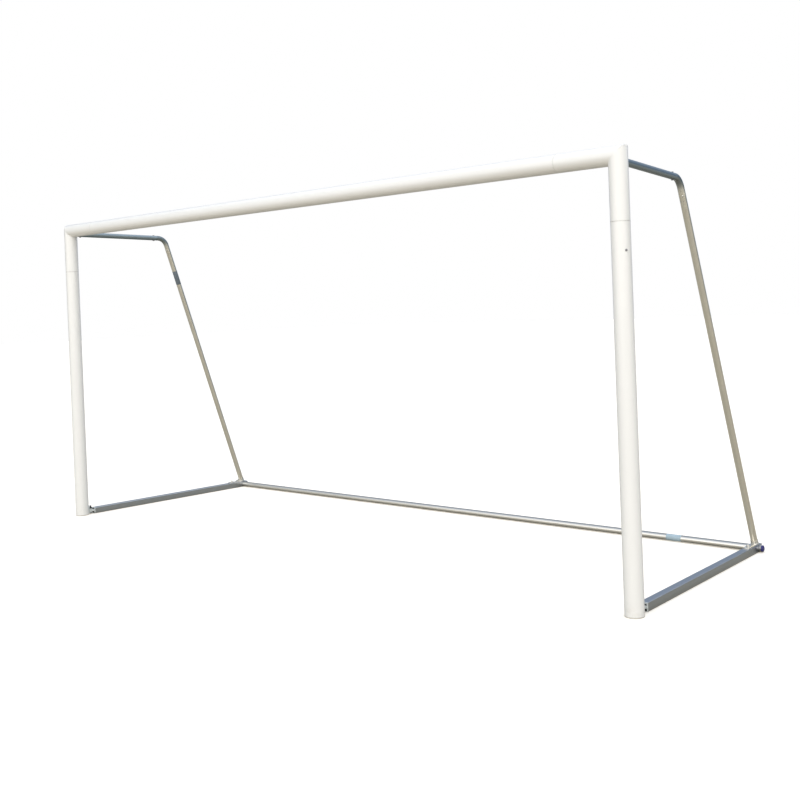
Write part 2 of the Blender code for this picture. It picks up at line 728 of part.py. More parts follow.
def foot_fasteners(side):
    """A bolt with its head inside the base bar, and a domed flange nut on the foot plate."""
    name = side.name
    centre = (0, FOOT_BOLT_AT, 0)
    under = BAR_SIZE - BAR_WALL - GAP
    over = FOOT_PLATE_TOP + GAP
    low, high = under - OVERLAP, over + FOOT_BOLT_TIP
    bolt = rod(f"{name}_foot_bolt", FOOT_BOLT_RADIUS, low, high, SMALL_SIDES, "zinc_hardware")
    head = hexagon(f"{name}_foot_head", FOOT_HEX, under - FOOT_HEAD_HEIGHT, under)
    profile = dome_profile(NUT_DOME_RADIUS, over + NUT_DOME_BASE, NUT_DOME_HEIGHT)
    profile += [(NUT_DOME_RADIUS, over + NUT_FLANGE_TOP), (NUT_FLANGE_RADIUS, over + NUT_FLANGE_TOP)]
    profile += [(NUT_FLANGE_RADIUS, over), (0, over)]
    nut = turned(f"{name}_foot_nut", profile, HOLE_SIDES, "spring_steel")
    sides = hexagon(f"{name}_foot_nut_sides", NUT_HEX, over + NUT_FLANGE_TOP / 2, over + NUT_SIDES_TOP)
    radius = FOOT_BOLT_RADIUS + HOLE_CLEARANCE
    bore = rod(f"{name}_foot_nut_bore", radius, over - NUT_FLANGE_RADIUS, over + NUT_BORE_TOP, HOLE_SIDES)
    for obj in (bolt, head, nut, sides, bore):
        obj.location = centre
        side.on_bar(obj)
    join(bolt, head)
    join(nut, sides)
    cut(nut, bore)


# ---------------------------------------------------------------- ground bar and bands


def ground_bar():
    centre = Vector((0, POST_Y + GROUND_BEHIND, BAR_Z))
    way = Vector((1, 0, 0))
    half = GROUND_BAR_HALF
    bar = tube("ground_bar", TUBE_RADIUS, TUBE_WALL, -half, half, TUBE_SIDES, "galvanised_steel")
    stand(bar, centre, way)
    for name, sign in SIDES.items():
        profile = dome_profile(TUBE_RADIUS, half + CAP_SHOULDER, CAP_LENGTH - CAP_SHOULDER)
        profile += [(TUBE_RADIUS, half + GAP), (COUPLER_RADIUS, half + GAP)]
        profile += [(COUPLER_RADIUS, half - CAP_PLUG), (0, half - CAP_PLUG)]
        stand(turned(f"{name}_ground_cap", profile, TUBE_SIDES, "blue_plastic"), centre, way * sign)
    reach = OVERALL_WIDTH / 2
    hole = rod("ground_bar_hole", TUBE_RADIUS + HOLE_CLEARANCE, -reach, reach, POST_SIDES)
    return stand(hole, centre, way)


def bands(sides):
    """Plain wrap-round bands, one on the left stay and one near the right end of the ground bar."""
    outer = TUBE_RADIUS + GAP + BAND_THICKNESS
    stay_band = tube("left_stay_band", outer, BAND_THICKNESS, *STAY_BAND, TUBE_SIDES, "slate_band")
    sides["left"].on_stay(stay_band)
    bar_band = tube("ground_bar_band", outer, BAND_THICKNESS, *GROUND_BAND, TUBE_SIDES, "pale_blue_band")
    stand(bar_band, Vector((0, POST_Y + GROUND_BEHIND, BAR_Z)), (1, 0, 0))


def build():
    sides = {name: Side(name, sign) for name, sign in SIDES.items()}
    crossbar_and_sleeves()
    ground_hole = ground_bar()
    for side in sides.values():
        posts_and_corner(side)
        foot_hole = base_bar(side, ground_hole)
        front_bracket(side)
        stay_and_bend(side)
        stay_foot(side, foot_hole)
        foot_fasteners(side)
    bands(sides)


clear_scene()
PARTS = new_collection("soccer_goal_frame")
CUTTERS = new_collection("cutters")
build()
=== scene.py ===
import math

import bmesh
import bpy
from mathutils import Matrix, Vector


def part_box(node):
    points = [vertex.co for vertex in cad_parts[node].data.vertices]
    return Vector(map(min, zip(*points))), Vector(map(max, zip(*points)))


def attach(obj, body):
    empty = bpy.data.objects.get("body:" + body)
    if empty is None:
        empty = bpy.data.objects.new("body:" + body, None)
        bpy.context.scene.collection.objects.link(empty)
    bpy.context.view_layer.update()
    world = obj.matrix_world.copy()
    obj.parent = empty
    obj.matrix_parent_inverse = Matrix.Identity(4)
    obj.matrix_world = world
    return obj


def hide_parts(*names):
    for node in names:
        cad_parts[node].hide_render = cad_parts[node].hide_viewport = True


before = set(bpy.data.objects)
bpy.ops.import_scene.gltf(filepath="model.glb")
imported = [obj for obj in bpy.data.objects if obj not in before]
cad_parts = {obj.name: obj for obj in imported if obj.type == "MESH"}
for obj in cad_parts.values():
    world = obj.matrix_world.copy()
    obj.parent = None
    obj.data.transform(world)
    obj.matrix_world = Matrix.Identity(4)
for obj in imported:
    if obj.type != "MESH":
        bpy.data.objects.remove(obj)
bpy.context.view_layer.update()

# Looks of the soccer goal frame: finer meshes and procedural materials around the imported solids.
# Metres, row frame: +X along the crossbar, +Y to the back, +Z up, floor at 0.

# Sizes of the design that the frame's boxes don't give
TOP_FRONT_HEIGHT = 2.16
BEND_BEHIND = 0.79
BEND_INSET = 0.10
BEND_HEIGHT = 2.135
BEND_RADIUS = 0.085
GROUND_BEHIND = 1.524
REAR_INSET = 0.075
POST_WALL = 0.0025
TUBE_WALL = 0.002
BAR_WALL = 0.0025
TOP_TUBE_START = 0.057
TOP_TUBE_END = 0.726
SPIGOT_END = 0.165
FRONT_BOLT_AT = 0.076
REAR_BOLT_AT = 0.701
BEND_END = 0.1273
STAY_BUTTON_AT = 0.0974
STAY_BAND = (0.2816, 0.3949)
STAY_END_HEIGHT = 0.0574
BAR_START = 0.0952
BAR_END = 1.5605
BRACKET_BOLT_AT = 0.070
BRACKET_PLATE_WIDTH = 0.034
PLATE_FRONT = 0.0909
SLOT_LEVELS = ((0.0045, 0.0145), (0.0312, 0.0375))
SLOT_HALF = 0.0178
SLOT_DEPTH = 0.003
FOOT_BOLT_AT = 1.412
FOOT_PLATE_TOP = 0.0503
SOCKET_RADIUS = 0.0215
POST_BUTTON_HEIGHT = 1.732
POST_BUTTON_ANGLE = math.radians(31)
CROSSBAR_BUTTON_AT = 1.935
STAY_BUTTON_ANGLE = math.radians(62)
POST_BUTTON_RADIUS = 0.006
STAY_BUTTON_RADIUS = 0.005
POST_BUTTON_TIP = 0.0035
STAY_BUTTON_TIP = 0.003

# Fasteners: the bracket's bolt and nut, the top tube's small ones, and those of the foot plate
BRACKET_HEX = 0.018
BRACKET_HEAD = 0.005
BRACKET_BOLT_RADIUS = 0.006
SMALL_HEX = 0.013
SMALL_HEAD = 0.0032
SMALL_NUT = 0.0038
SMALL_BOLT_RADIUS = 0.004
SMALL_BOLT_TIP = 0.0045
FOOT_HEX = 0.016
FOOT_BOLT_RADIUS = 0.005
NUT_HEX = 0.017
FOOT_BORE = 0.0056
NUT_FLANGE = 0.012
NUT_SIDES_TOP = 0.010
NUT_DOME_RADIUS = 0.0078
NUT_DOME_BASE = 0.0094

# Foot plugs, bands, caps and clearances
PLUG_HOLLOW = 0.010
BAND_RISE = 0.0003
CAP_RIM = 0.0057
CAP_PLUG = 0.015
GAP = 0.0003
SEAM = 0.0005

# Snap buttons' leaves: level under the button, level at the anchor, width, length and thickness
POST_LEAF = (0.0343, 0.0390, 0.0136, 0.0696, 0.0012)
STAY_LEAF = (0.0080, 0.0116, 0.0076, 0.0496, 0.001)

# Spans of the cuts along their own lines
POST_CUT = (0.03, 0.06)
STAY_CUT = (0.008, 0.03)
THROUGH_CUT = (-0.03, 0.03)
FOOT_CUT = (0.035, 0.056)
GROUND_CUT = (-2.6, 2.6)

# Finish of edges, welds, threads and steel
CHAMFER = 0.0008
TIP_EASE = 0.010
# Heights over which the bend's upper part takes painted reflected shade
REFLECTED_SHADE_HEIGHT = (2.05, 2.12)
ARRIS_WIDTH = (0.0045, 0.0015)
MITRE_BEAD = 0.0017
MITRE_INSET = 0.0008
MITRE_EXTRA_INSET = 0.0011
WELD_RADIUS = 0.0021
WELD_PITCH = 0.0034
THREAD_PITCH = 0.00125
THREAD_DEPTH = 0.0006

SOFT_EDGE = 0.0006
WELD_SEAT = 0.0012
HOLE_MARGIN = 0.012

POST_SIDES = 96
TUBE_SIDES = 64
ROD_SIDES = 48
BUTTON_SIDES = 40
HOLE_SIDES = 32
BOLT_SIDES = 24
BEAD_SIDES = 10
HEX_SAMPLES = 36
BAND_SIDES = 72
BAND_LAP = 9

# Colours of wear, and two of painted shade: one for the undersides of the white paint and one for the slots
UNDERSIDE_SHADE = (0.62, 0.56, 0.46)
SOIL = (0.46, 0.42, 0.34)
SEAM_GRIME = (0.38, 0.36, 0.33)
SLOT_SHADE = (0.01, 0.01, 0.01)
SCUFF_GREY = (0.50, 0.50, 0.48)
SPECK = (0.45, 0.43, 0.40)
CHALK = (0.50, 0.50, 0.47)
RUST_SPOT = (0.16, 0.10, 0.06)
RUST_STAIN = (0.13, 0.065, 0.03)
DUST = (0.42, 0.38, 0.31)

# Places that follow from the frame's boxes
POST_LOW, POST_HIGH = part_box("right_post")
CORNER_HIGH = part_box("right_corner")[1]
BAR_LOW, BAR_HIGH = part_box("ground_bar")
POST_RADIUS = (POST_HIGH.x - POST_LOW.x) / 2
POST_X = (POST_HIGH.x + POST_LOW.x) / 2
POST_Y = (POST_HIGH.y + POST_LOW.y) / 2
SEAM_Z = POST_HIGH.z + SEAM
CROSSBAR_Z = CORNER_HIGH.z - POST_RADIUS
SEAM_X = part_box("crossbar")[1].x + SEAM
TUBE_RADIUS = (BAR_HIGH.z - BAR_LOW.z) / 2
GROUND_BAR_HALF = BAR_HIGH.x
BAR_Z = (BAR_HIGH.z + BAR_LOW.z) / 2
BAR_SIZE = 2 * BAR_Z
TOE = math.atan2(REAR_INSET, GROUND_BEHIND)
SLOT_MIDDLE = POST_X - PLATE_FRONT * math.sin(TOE)
# Where the ground bar's painted end shade begins
ENDS_FROM = POST_X - REAR_INSET + BAR_SIZE / 2 - 0.0035
SIDES = {"left": -1, "right": 1}
BODY = "frame"

# Camera: the place, the turns and the lens that match the photograph's view
CAMERA_PLACE = Vector((5.0251, POST_Y - 4.5057, 1.5137))
CAMERA_YAW = 0.7328
CAMERA_PITCH = -0.0117
CAMERA_ROLL = 0.0390
CAMERA_LENS = 48.719
CAMERA_SHIFT = -0.1021

# Surround: the bright side's turn from -Y, light colours by direction, and their strength
BRIGHT_YAW = 0.5
BRIGHT_SIDE = (1.84, 1.80, 1.72)
DIM_SIDE = (0.10, 0.13, 0.15)
BEHIND = (0.27, 0.34, 0.46)
OVERHEAD = (0.86, 0.92, 1.02)
SURROUND_POWER = 1.15

# Floor: tones that the camera sees, the tone that lights the object, and a lift to the surround's white
FLOOR_TONES = ((0.985, 0.96, 0.93), (0.98, 0.955, 0.925))
FLOOR_THROWN = (0.42, 0.39, 0.32)
FLOOR_LIFT_COLOUR = (1.0, 0.86, 0.60)
FLOOR_LIFT = 0.24
FLOOR_HALF = 60
FLOOR_DROP = 0.0003


# ---- mesh tools


def turned_to(origin, along, across=None):
    """The matrix of a frame with its Z along one direction and its X near another."""
    z = Vector(along).normalized()
    if across is None:
        across = Vector((0, 0, 1)) if abs(z.z) < 0.9 else Vector((1, 0, 0))
    x = Vector(across) - z * z.dot(Vector(across))
    x.normalize()
    turn = Matrix((x, z.cross(x), z)).transposed().to_4x4()
    return Matrix.Translation(origin) @ turn


def circle(radius, height, sides):
    step = 2 * math.pi / sides
    return [Vector((radius * math.cos(i * step), radius * math.sin(i * step), height)) for i in range(sides)]


def placed(name, data, place=Matrix.Identity(4)):
    """A new object in the scene."""
    obj = bpy.data.objects.new(name, data)
    obj.matrix_world = place
    bpy.context.scene.collection.objects.link(obj)
    return obj


def mesh_from(name, bm):
    """A mesh made from a BMesh, which it uses up."""
    mesh = bpy.data.meshes.new(name)
    bm.to_mesh(mesh)
    bm.free()
    return mesh


class Shape:
    """Closed skins gathered in one mesh."""

    def __init__(self):
        self.bm = bmesh.new()

    def skin(self, rings, wrap=False):
        """Quads between rings of equal length. A ring of one point is a pole; open ends are capped."""
        made = [[self.bm.verts.new(p) for p in ring] for ring in rings]
        pairs = list(zip(made, made[1:]))
        if wrap:
            pairs.append((made[-1], made[0]))
        for low, high in pairs:
            count = max(len(low), len(high))
            for i in range(count):
                j = (i + 1) % count
                corners = [low[i % len(low)], low[j % len(low)], high[j % len(high)], high[i % len(high)]]
                self.bm.faces.new(list(dict.fromkeys(corners)))
        if not wrap:
            for ring in (made[0], made[-1]):
                if len(ring) > 2:
                    self.bm.faces.new(ring)
        return self

    def turned(self, profile, sides, wrap=False):
        """A solid of revolution about Z from (radius, height) points."""
        rings = [circle(r, h, sides) if r > 0 else [Vector((0, 0, h))] for r, h in profile]
        return self.skin(rings, wrap)

    def rod(self, radius, low, high, sides):
        return self.turned([(0, low), (radius, low), (radius, high), (0, high)], sides)

    def tube(self, radius, wall, low, high, sides, stops=()):
        """A straight tube with eased ends. Stops are heights of extra rings, kept beside holes."""
        inner = radius - wall
        heights = [low + CHAMFER, *sorted(stops), high - CHAMFER]
        profile = [(radius - CHAMFER, low)] + [(radius, h) for h in heights] + [(radius - CHAMFER, high)]
        profile += [(inner, high)] + [(inner, h) for h in reversed(heights)] + [(inner, low)]
        return self.turned(profile, sides, wrap=True)

    def pipe(self, path, radius, wall, normal, sides):
        """A bent tube along a path in the plane of this normal, with eased ends."""
        places = []
        for i, point in enumerate(path):
            before, after = path[max(i - 1, 0)], path[min(i + 1, len(path) - 1)]
            way = (after - before).normalized()
            places.append((point, normal, way.cross(normal)))
        start_way = (path[1] - path[0]).normalized()
        end_way = (path[-1] - path[-2]).normalized()
        first, last = places[0], places[-1]
        outer = [(first, radius - CHAMFER, Vector())]
        outer.append((first, radius, start_way * CHAMFER))
        outer += [(place, radius, Vector()) for place in places[1:-1]]
        outer.append((last, radius, -end_way * CHAMFER))
        outer.append((last, radius - CHAMFER, Vector()))
        inner = [(place, radius - wall, Vector()) for place in reversed(places)]
        rings = []
        for (point, u, v), size, shift in outer + inner:
            rings.append([point + shift + u * p.x + v * p.y for p in circle(size, 0, sides)])
        return self.skin(rings, wrap=True)

    def bead(self, path, closed=False, radius=WELD_RADIUS):
        """A rippled weld bead along a path."""
        path = resampled(path, WELD_PITCH / 4, closed)
        count = len(path)
        rings = []
        for i, point in enumerate(path):
            after = path[(i + 1) % count] if closed or i < count - 1 else point
            before = path[i - 1] if closed or i > 0 else point
            way = (after - before).normalized()
            u = way.orthogonal() if abs(way.z) > 0.9 else way.cross(Vector((0, 0, 1)))
            u.normalize()
            v = way.cross(u)
            phase = i % 4 / 4
            size = radius * (0.82 + 0.22 * math.sin(math.pi * phase) + 0.05 * math.sin(i * 1.7))
            if not closed:
                size *= min(1, 0.35 + min(i, count - 1 - i) / 4)
            rings.append([point + u * p.x + v * p.y for p in circle(size, 0, BEAD_SIDES)])
        return self.skin(rings, wrap=closed)

    def box(self, low, high):
        made = bmesh.ops.create_cube(self.bm, size=1)["verts"]
        bmesh.ops.scale(self.bm, vec=Vector(high) - Vector(low), verts=made)
        bmesh.ops.translate(self.bm, vec=(Vector(low) + Vector(high)) / 2, verts=made)
        return self

    def hexagon(self, across, low, high, bore=0, eased=(True, True)):
        """A hexagonal head or nut whose corners are chamfered by a cone."""
        flat = across / 2
        corners = []
        for i in range(HEX_SAMPLES):
            angle = 2 * math.pi * i / HEX_SAMPLES
            corners.append((angle, flat / math.cos((angle + math.pi / 6) % (math.pi / 3) - math.pi / 6)))
        drop = [(r - flat * 0.95) * math.tan(math.radians(28)) for _, r in corners]

        def rim(height, way):
            return [
                Vector((r * math.cos(a), r * math.sin(a), height + way * d))
                for (a, r), d in zip(corners, drop)
            ]

        rings = [circle(flat * 0.95, low, HEX_SAMPLES)] if eased[0] else []
        rings += [rim(low, 1 if eased[0] else 0), rim(high, -1 if eased[1] else 0)]
        rings += [circle(flat * 0.95, high, HEX_SAMPLES)] if eased[1] else []
        if bore:
            thread = (high - low) / 8
            rings.append(circle(bore + CHAMFER, high, HEX_SAMPLES))
            for i in range(1, 8):
                rings.append(circle(bore + (0.0003 if i % 2 else 0), high - thread * i, HEX_SAMPLES))
            rings.append(circle(bore + CHAMFER, low, HEX_SAMPLES))
        return self.skin(rings, wrap=bool(bore))

    def thread(self, radius, low, high):
        """A bolt's threaded length, from low to high, with a pointed upper end."""
        profile = [(0, low), (radius, low)]
        height = low + THREAD_PITCH / 2
        while height < high - THREAD_PITCH:
            profile += [(radius, height), (radius - THREAD_DEPTH, height + THREAD_PITCH / 2)]
            height += THREAD_PITCH
        core = radius - THREAD_DEPTH
        profile += [(core, high - 0.0006), (core - 0.0006, high), (0, high)]
        return self.turned(profile, BOLT_SIDES)

    def add(self, other, matrix=Matrix.Identity(4)):
        """Takes in another shape's skins, moved by a matrix."""
        mesh = mesh_from("part", other.bm)
        mesh.transform(matrix)
        self.bm.from_mesh(mesh)
        bpy.data.meshes.remove(mesh)
        return self

    def object(self, name, place=Matrix.Identity(4)):
        bmesh.ops.recalc_face_normals(self.bm, faces=self.bm.faces)
        return placed(name, mesh_from(name, self.bm), place)


def resampled(path, step, closed):
    """Points evenly spaced along a line of straight runs."""
    points = list(path) + ([path[0]] if closed else [])
    lengths = [0.0]
    for a, b in zip(points, points[1:]):
        lengths.append(lengths[-1] + (b - a).length)
    count = max(4, round(lengths[-1] / step))
    if closed:
        count -= count % 4
    result = []
    i = 0
    for k in range(count if closed else count + 1):
        at = lengths[-1] * k / count
        while i < len(points) - 2 and lengths[i + 1] < at:
            i += 1
        span = lengths[i + 1] - lengths[i]
        result.append(points[i].lerp(points[i + 1], (at - lengths[i]) / span if span else 0))
    return result


def evaluated(obj):
    """Bakes an object's modifiers into its mesh."""
    graph = bpy.context.evaluated_depsgraph_get()
    mesh = bpy.data.meshes.new_from_object(obj.evaluated_get(graph))
    obj.modifiers.clear()
    obj.data = mesh
    return obj


def carved(obj, *cutters):
    """Cuts each cutter's shape out of an object, then removes the cutters."""
    for cutter in cutters:
        modifier = obj.modifiers.new("Cut", "BOOLEAN")
        modifier.operation = "DIFFERENCE"
        modifier.solver = "EXACT"
        modifier.object = cutter
    bpy.context.view_layer.update()
    evaluated(obj)
    for cutter in cutters:
        bpy.data.objects.remove(cutter)
    return obj


def hole(origin, along, radius, low, high):
    """A round cutter along a line."""
    return Shape().rod(radius, low, high, HOLE_SIDES).object("hole", turned_to(origin, along))


def softened(node, width=SOFT_EDGE):
    """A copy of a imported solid's mesh with its flat faces merged and its edges rounded."""
    bm = bmesh.new()
    bm.from_mesh(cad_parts[node].data)
    bmesh.ops.remove_doubles(bm, verts=bm.verts, dist=0.000005)
    bmesh.ops.dissolve_limit(bm, angle_limit=math.radians(1), verts=bm.verts, edges=bm.edges)
    obj = placed("shown_" + node, mesh_from(node, bm))
    bevel = obj.modifiers.new("Edges", "BEVEL")
    bevel.width = width
    bevel.segments = 2
    bevel.limit_method = "ANGLE"
    bevel.angle_limit = math.radians(32)
    return evaluated(obj)


def joined(obj, shape):
    """Adds a shape's skins, made in the row frame, to an object that stands at the origin."""
    bmesh.ops.recalc_face_normals(shape.bm, faces=shape.bm.faces)
    mesh = mesh_from("extra", shape.bm)
    bm = bmesh.new()
    bm.from_mesh(obj.data)
    bm.from_mesh(mesh)
    bm.to_mesh(obj.data)
    bm.free()
    bpy.data.meshes.remove(mesh)
    return obj


def show(obj, node, material, body=BODY, angle=35):
    """Finishes a piece: shading, material, body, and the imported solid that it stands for."""
    obj.name = "shown_" + node
    obj.data.materials.clear()
    obj.data.materials.append(material)
    for polygon in obj.data.polygons:
        polygon.use_smooth = True
        polygon.material_index = 0
    obj.data.set_sharp_from_angle(angle=math.radians(angle))
    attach(obj, body)
    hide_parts(node)
    return obj


# ---- materials


def add_node(tree, kind, inputs=None, **settings):
    """A shader node with its settings, and with its inputs linked or set."""
    made = tree.nodes.new(kind)
    for key, value in settings.items():
        setattr(made, key, value)
    for key, value in (inputs or {}).items():
        put(tree, made.inputs[key], value)
    return made


def put(tree, socket, value):
    if isinstance(value, bpy.types.NodeSocket):
        tree.links.new(value, socket)
    elif isinstance(value, tuple) and len(value) == 3 and socket.type == "RGBA":
        socket.default_value = (*value, 1.0)
    else:
        socket.default_value = value


class Finish:
    """A procedural material. Lengths in its scales are in metres."""

    def __init__(self, name):
        self.material = bpy.data.materials.new(name)
        self.material.use_nodes = True
        self.tree = self.material.node_tree
        self.shader = self.tree.nodes["Principled BSDF"]
        self.local = self.node("ShaderNodeTexCoord").outputs["Object"]
        geometry = self.node("ShaderNodeNewGeometry")
        self.place = geometry.outputs["Position"]
        self.normal = geometry.outputs["Normal"]

    def node(self, kind, inputs=None, **settings):
        return add_node(self.tree, kind, inputs, **settings)

    def stretched(self, scale, source=None):
        made = self.node("ShaderNodeMapping", {"Vector": source or self.local, "Scale": scale})
        return made.outputs["Vector"]

    def noise(self, scale, detail=3.0, rough=0.55, source=None):
        inputs = {"Vector": source or self.local, "Scale": scale, "Detail": detail, "Roughness": rough}
        return self.node("ShaderNodeTexNoise", inputs).outputs["Fac"]

    def cells(self, scale, output="Color", feature="F1", source=None):
        inputs = {"Vector": source or self.local, "Scale": scale}
        return self.node("ShaderNodeTexVoronoi", inputs, feature=feature).outputs[output]

    def span(self, value, low, high, to_low=0.0, to_high=1.0):
        inputs = {"Value": value, "From Min": low, "From Max": high, "To Min": to_low, "To Max": to_high}
        return self.node("ShaderNodeMapRange", inputs, interpolation_type="SMOOTHSTEP").outputs["Result"]

    def calc(self, operation, first, second=0.0):
        return self.node("ShaderNodeMath", {0: first, 1: second}, operation=operation).outputs[0]

    def times(self, first, second):
        return self.calc("MULTIPLY", first, second)

    def size(self, value):
        """A value without its sign."""
        return self.calc("ABSOLUTE", value)

    def part(self, vector, axis):
        return self.node("ShaderNodeSeparateXYZ", {0: vector}).outputs[axis]

    def mix(self, amount, first, second, blend="MIX"):
        inputs = {0: amount, 6: first, 7: second}
        return self.node("ShaderNodeMix", inputs, data_type="RGBA", blend_type=blend).outputs[2]

    def bump(self, height, distance, strength=1.0, under=None):
        inputs = {"Height": height, "Distance": distance, "Strength": strength}
        if under is not None:
            inputs["Normal"] = under
        return self.node("ShaderNodeBump", inputs).outputs["Normal"]

    def finish(self, colour, roughness, metallic=0.0, normal=None, **extra):
        inputs = {"Base Color": colour, "Roughness": roughness, "Metallic": metallic}
        if normal is not None:
            inputs["Normal"] = normal
        for key, value in extra.items():
            inputs[key.replace("_", " ")] = value
        for key, value in inputs.items():
            put(self.tree, self.shader.inputs[key], value)
        return self.material


def white_paint(name):
    """Gloss white powder coat: orange peel, faint scuffs, dust that gathers low down, and painted shade on
    undersides.
    """
    f = Finish(name)
    tone = f.mix(f.noise(2.5, 2), (0.87, 0.86, 0.84), (0.86, 0.85, 0.83))
    # Painted shade: faces that look down are mixed towards a warm darker colour, standing in for the shade
    # under the tubes.
    under = f.span(f.part(f.normal, 2), 0.1, -0.95)
    tone = f.mix(f.times(under, 0.45), tone, UNDERSIDE_SHADE)
    height = f.part(f.place, 2)
    low = f.span(height, 0.09, 0.0)
    dirt = f.times(low, f.span(f.noise(22, 6, 0.7, f.place), 0.42, 0.78))
    tone = f.mix(f.times(dirt, 0.3), tone, SOIL)
    across = f.size(f.calc("SUBTRACT", height, SEAM_Z))
    along = f.size(f.calc("SUBTRACT", f.size(f.part(f.place, 0)), SEAM_X))
    seam = f.span(f.calc("MINIMUM", across, along), 0.0045, 0.0012)
    tone = f.mix(f.times(seam, 0.2), tone, SEAM_GRIME)
    streak = f.noise(1.0, 5, 0.65, f.stretched((180, 180, 9)))
    scuff = f.span(streak, 0.72, 0.76)
    tone = f.mix(f.times(scuff, 0.10), tone, SCUFF_GREY)
    specks = f.span(f.cells(150, "Distance"), 0.045, 0.03)
    tone = f.mix(f.times(specks, 0.12), tone, SPECK)
    gloss = f.calc("ADD", f.span(f.noise(9, 3), 0.3, 0.7, 0.28, 0.31), f.times(dirt, 0.3))
    gloss = f.calc("ADD", gloss, f.times(scuff, 0.1))
    peel = f.bump(f.noise(620, 2), 0.00003, 0.2)
    return f.finish(tone, gloss, 0.0, peel, Coat_Weight=0.3, Coat_Roughness=0.12, Specular_IOR_Level=0.5)


def galvanised(name, bright, dull, over=None, arris=None, painted_top_reflection=None, ends=None):
    """Zinc-coated steel tube: small spangle, drawn streaks, chalky patches, and a darker underside of painted
    shade.

    Four more colours are optional: over takes over high up as painted reflected shade, arris lightens a
    square tube's worn edges, the colour for what faces up is a painted reflection, and ends covers what lies
    outside the base bars as painted shade.
    """
    f = Finish(name)
    wobble = f.noise(12, 2)
    warp = f.node("ShaderNodeTexNoise", {"Vector": f.local, "Scale": 60.0}).outputs["Color"]
    spangle = f.part(f.cells(110, "Color", "F1", f.mix(0.012, f.local, warp)), 0)
    streak = f.noise(1.0, 3, 0.55, f.stretched((230, 230, 4)))
    tone = f.mix(f.span(spangle, 0.0, 1.0, 0.0, 0.2), bright, dull)
    tone = f.mix(f.span(streak, 0.35, 0.75, 0.0, 0.25), tone, dull)
    # Painted reflected shade: high up, where the bend runs level, it takes the top tube's darker blue-grey.
    if over:
        height = f.part(f.place, 2)
        tone = f.mix(f.span(height, *REFLECTED_SHADE_HEIGHT), tone, over)
    if arris:
        across = [f.size(f.part(f.local, axis)) for axis in (0, 1)]
        edge = f.span(f.calc("MINIMUM", *across), *(BAR_SIZE / 2 - width for width in ARRIS_WIDTH))
        tone = f.mix(f.times(edge, f.span(f.noise(5, 3), 0.25, 0.6, 0.35, 0.8)), tone, arris)
    # Painted reflection: faces that look up take a darker blue-grey, standing in for the sky seen in the
    # bar's top.
    if painted_top_reflection:
        top = f.span(f.part(f.normal, 2), 0.50, 0.95)
        tone = f.mix(top, tone, painted_top_reflection)
    # Painted shade: the ground bar's ends beyond the base bars are darkened, standing in for the base bar's
    # dark side reflected in them.
    if ends:
        beyond = f.span(f.size(f.part(f.place, 0)), ENDS_FROM, ENDS_FROM + 0.003)
        tone = f.mix(beyond, tone, ends)
    chalk = f.span(f.noise(7, 5, 0.6), 0.56, 0.78)
    tone = f.mix(f.times(chalk, 0.16), tone, CHALK)
    # Painted shade: faces that look down are darkened strongly, standing in for the ground's shade on the
    # tubes' undersides.
    under = f.span(f.part(f.normal, 2), -0.2, -0.95)
    tone = f.mix(f.times(under, 0.7), tone, tuple(c * 0.3 for c in dull))
    spots = f.span(f.noise(170, 4, 0.65), 0.71, 0.78)
    tone = f.mix(f.times(spots, 0.18), tone, RUST_SPOT)
    rough = f.calc("ADD", f.span(wobble, 0.3, 0.7, 0.28, 0.33), f.times(chalk, 0.1))
    metal = f.calc("SUBTRACT", 0.98, f.times(chalk, 0.15))
    drawn = f.bump(streak, 0.00003, 0.12)
    pits = f.bump(f.noise(320, 2), 0.00002, 0.12, drawn)
    return f.finish(tone, rough, metal, pits)


def hardware(name, colour, rust=0.35, roughness=0.34, metallic=0.95, slotted=False):
    """Plated fasteners and cast fittings, with tool marks and a little rust, and black painted shade in the
    slots.
    """
    f = Finish(name)
    tone = f.mix(f.noise(140, 4), colour, tuple(c * 0.62 for c in colour))
    # Painted shade: the tongue plate's slots are blackened inside, where shade falls.
    if slotted:
        top = SLOT_LEVELS[1][1]
        front = POST_Y + PLATE_FRONT
        beside = f.size(f.calc("SUBTRACT", f.size(f.part(f.place, 0)), SLOT_MIDDLE))
        beside = f.span(beside, SLOT_HALF + 0.0006, SLOT_HALF + 0.0004)
        below = f.span(f.part(f.place, 2), top + 0.0006, top + 0.0004)
        deep = f.span(f.part(f.place, 1), front + 0.0012, front + 0.0016)
        tone = f.mix(f.times(deep, f.times(beside, below)), tone, SLOT_SHADE)
    stain = f.span(f.noise(210, 5, 0.7), 0.55, 0.68)
    tone = f.mix(f.times(stain, rust), tone, RUST_STAIN)
    rough = f.calc("ADD", f.span(f.noise(400, 3), 0.3, 0.7, roughness - 0.07, roughness + 0.08),
                  f.times(stain, 0.3))
    metal = f.times(metallic, f.calc("SUBTRACT", 1.0, f.times(stain, 0.6)))
    marks = f.bump(f.noise(1.0, 3, 0.6, f.stretched((1500, 1500, 200))), 0.00006, 0.5)
    return f.finish(tone, rough, metal, marks)


def plastic(name, colour, worn, roughness, coat=0.0):
    """Moulded plastic: fine texture, scuffed lighter, dust in its hollows."""
    f = Finish(name)
    tone = f.mix(f.noise(30, 4), colour, tuple(c * 0.78 for c in colour))
    scuff = f.span(f.noise(1.0, 6, 0.7, f.stretched((420, 160, 420))), 0.60, 0.70)
    tone = f.mix(f.times(scuff, 0.4), tone, worn)
    dust = f.span(f.noise(16, 5, 0.65), 0.56, 0.72)
    tone = f.mix(f.times(dust, 0.16), tone, DUST)
    rough = f.calc("ADD", f.span(f.noise(90, 3), 0.3, 0.7, roughness - 0.05, roughness + 0.08),
                  f.times(scuff, 0.2))
    grain = f.bump(f.noise(1500, 2), 0.00008, 0.6)
    return f.finish(tone, rough, 0.0, grain, Coat_Weight=coat, Coat_Roughness=0.2)


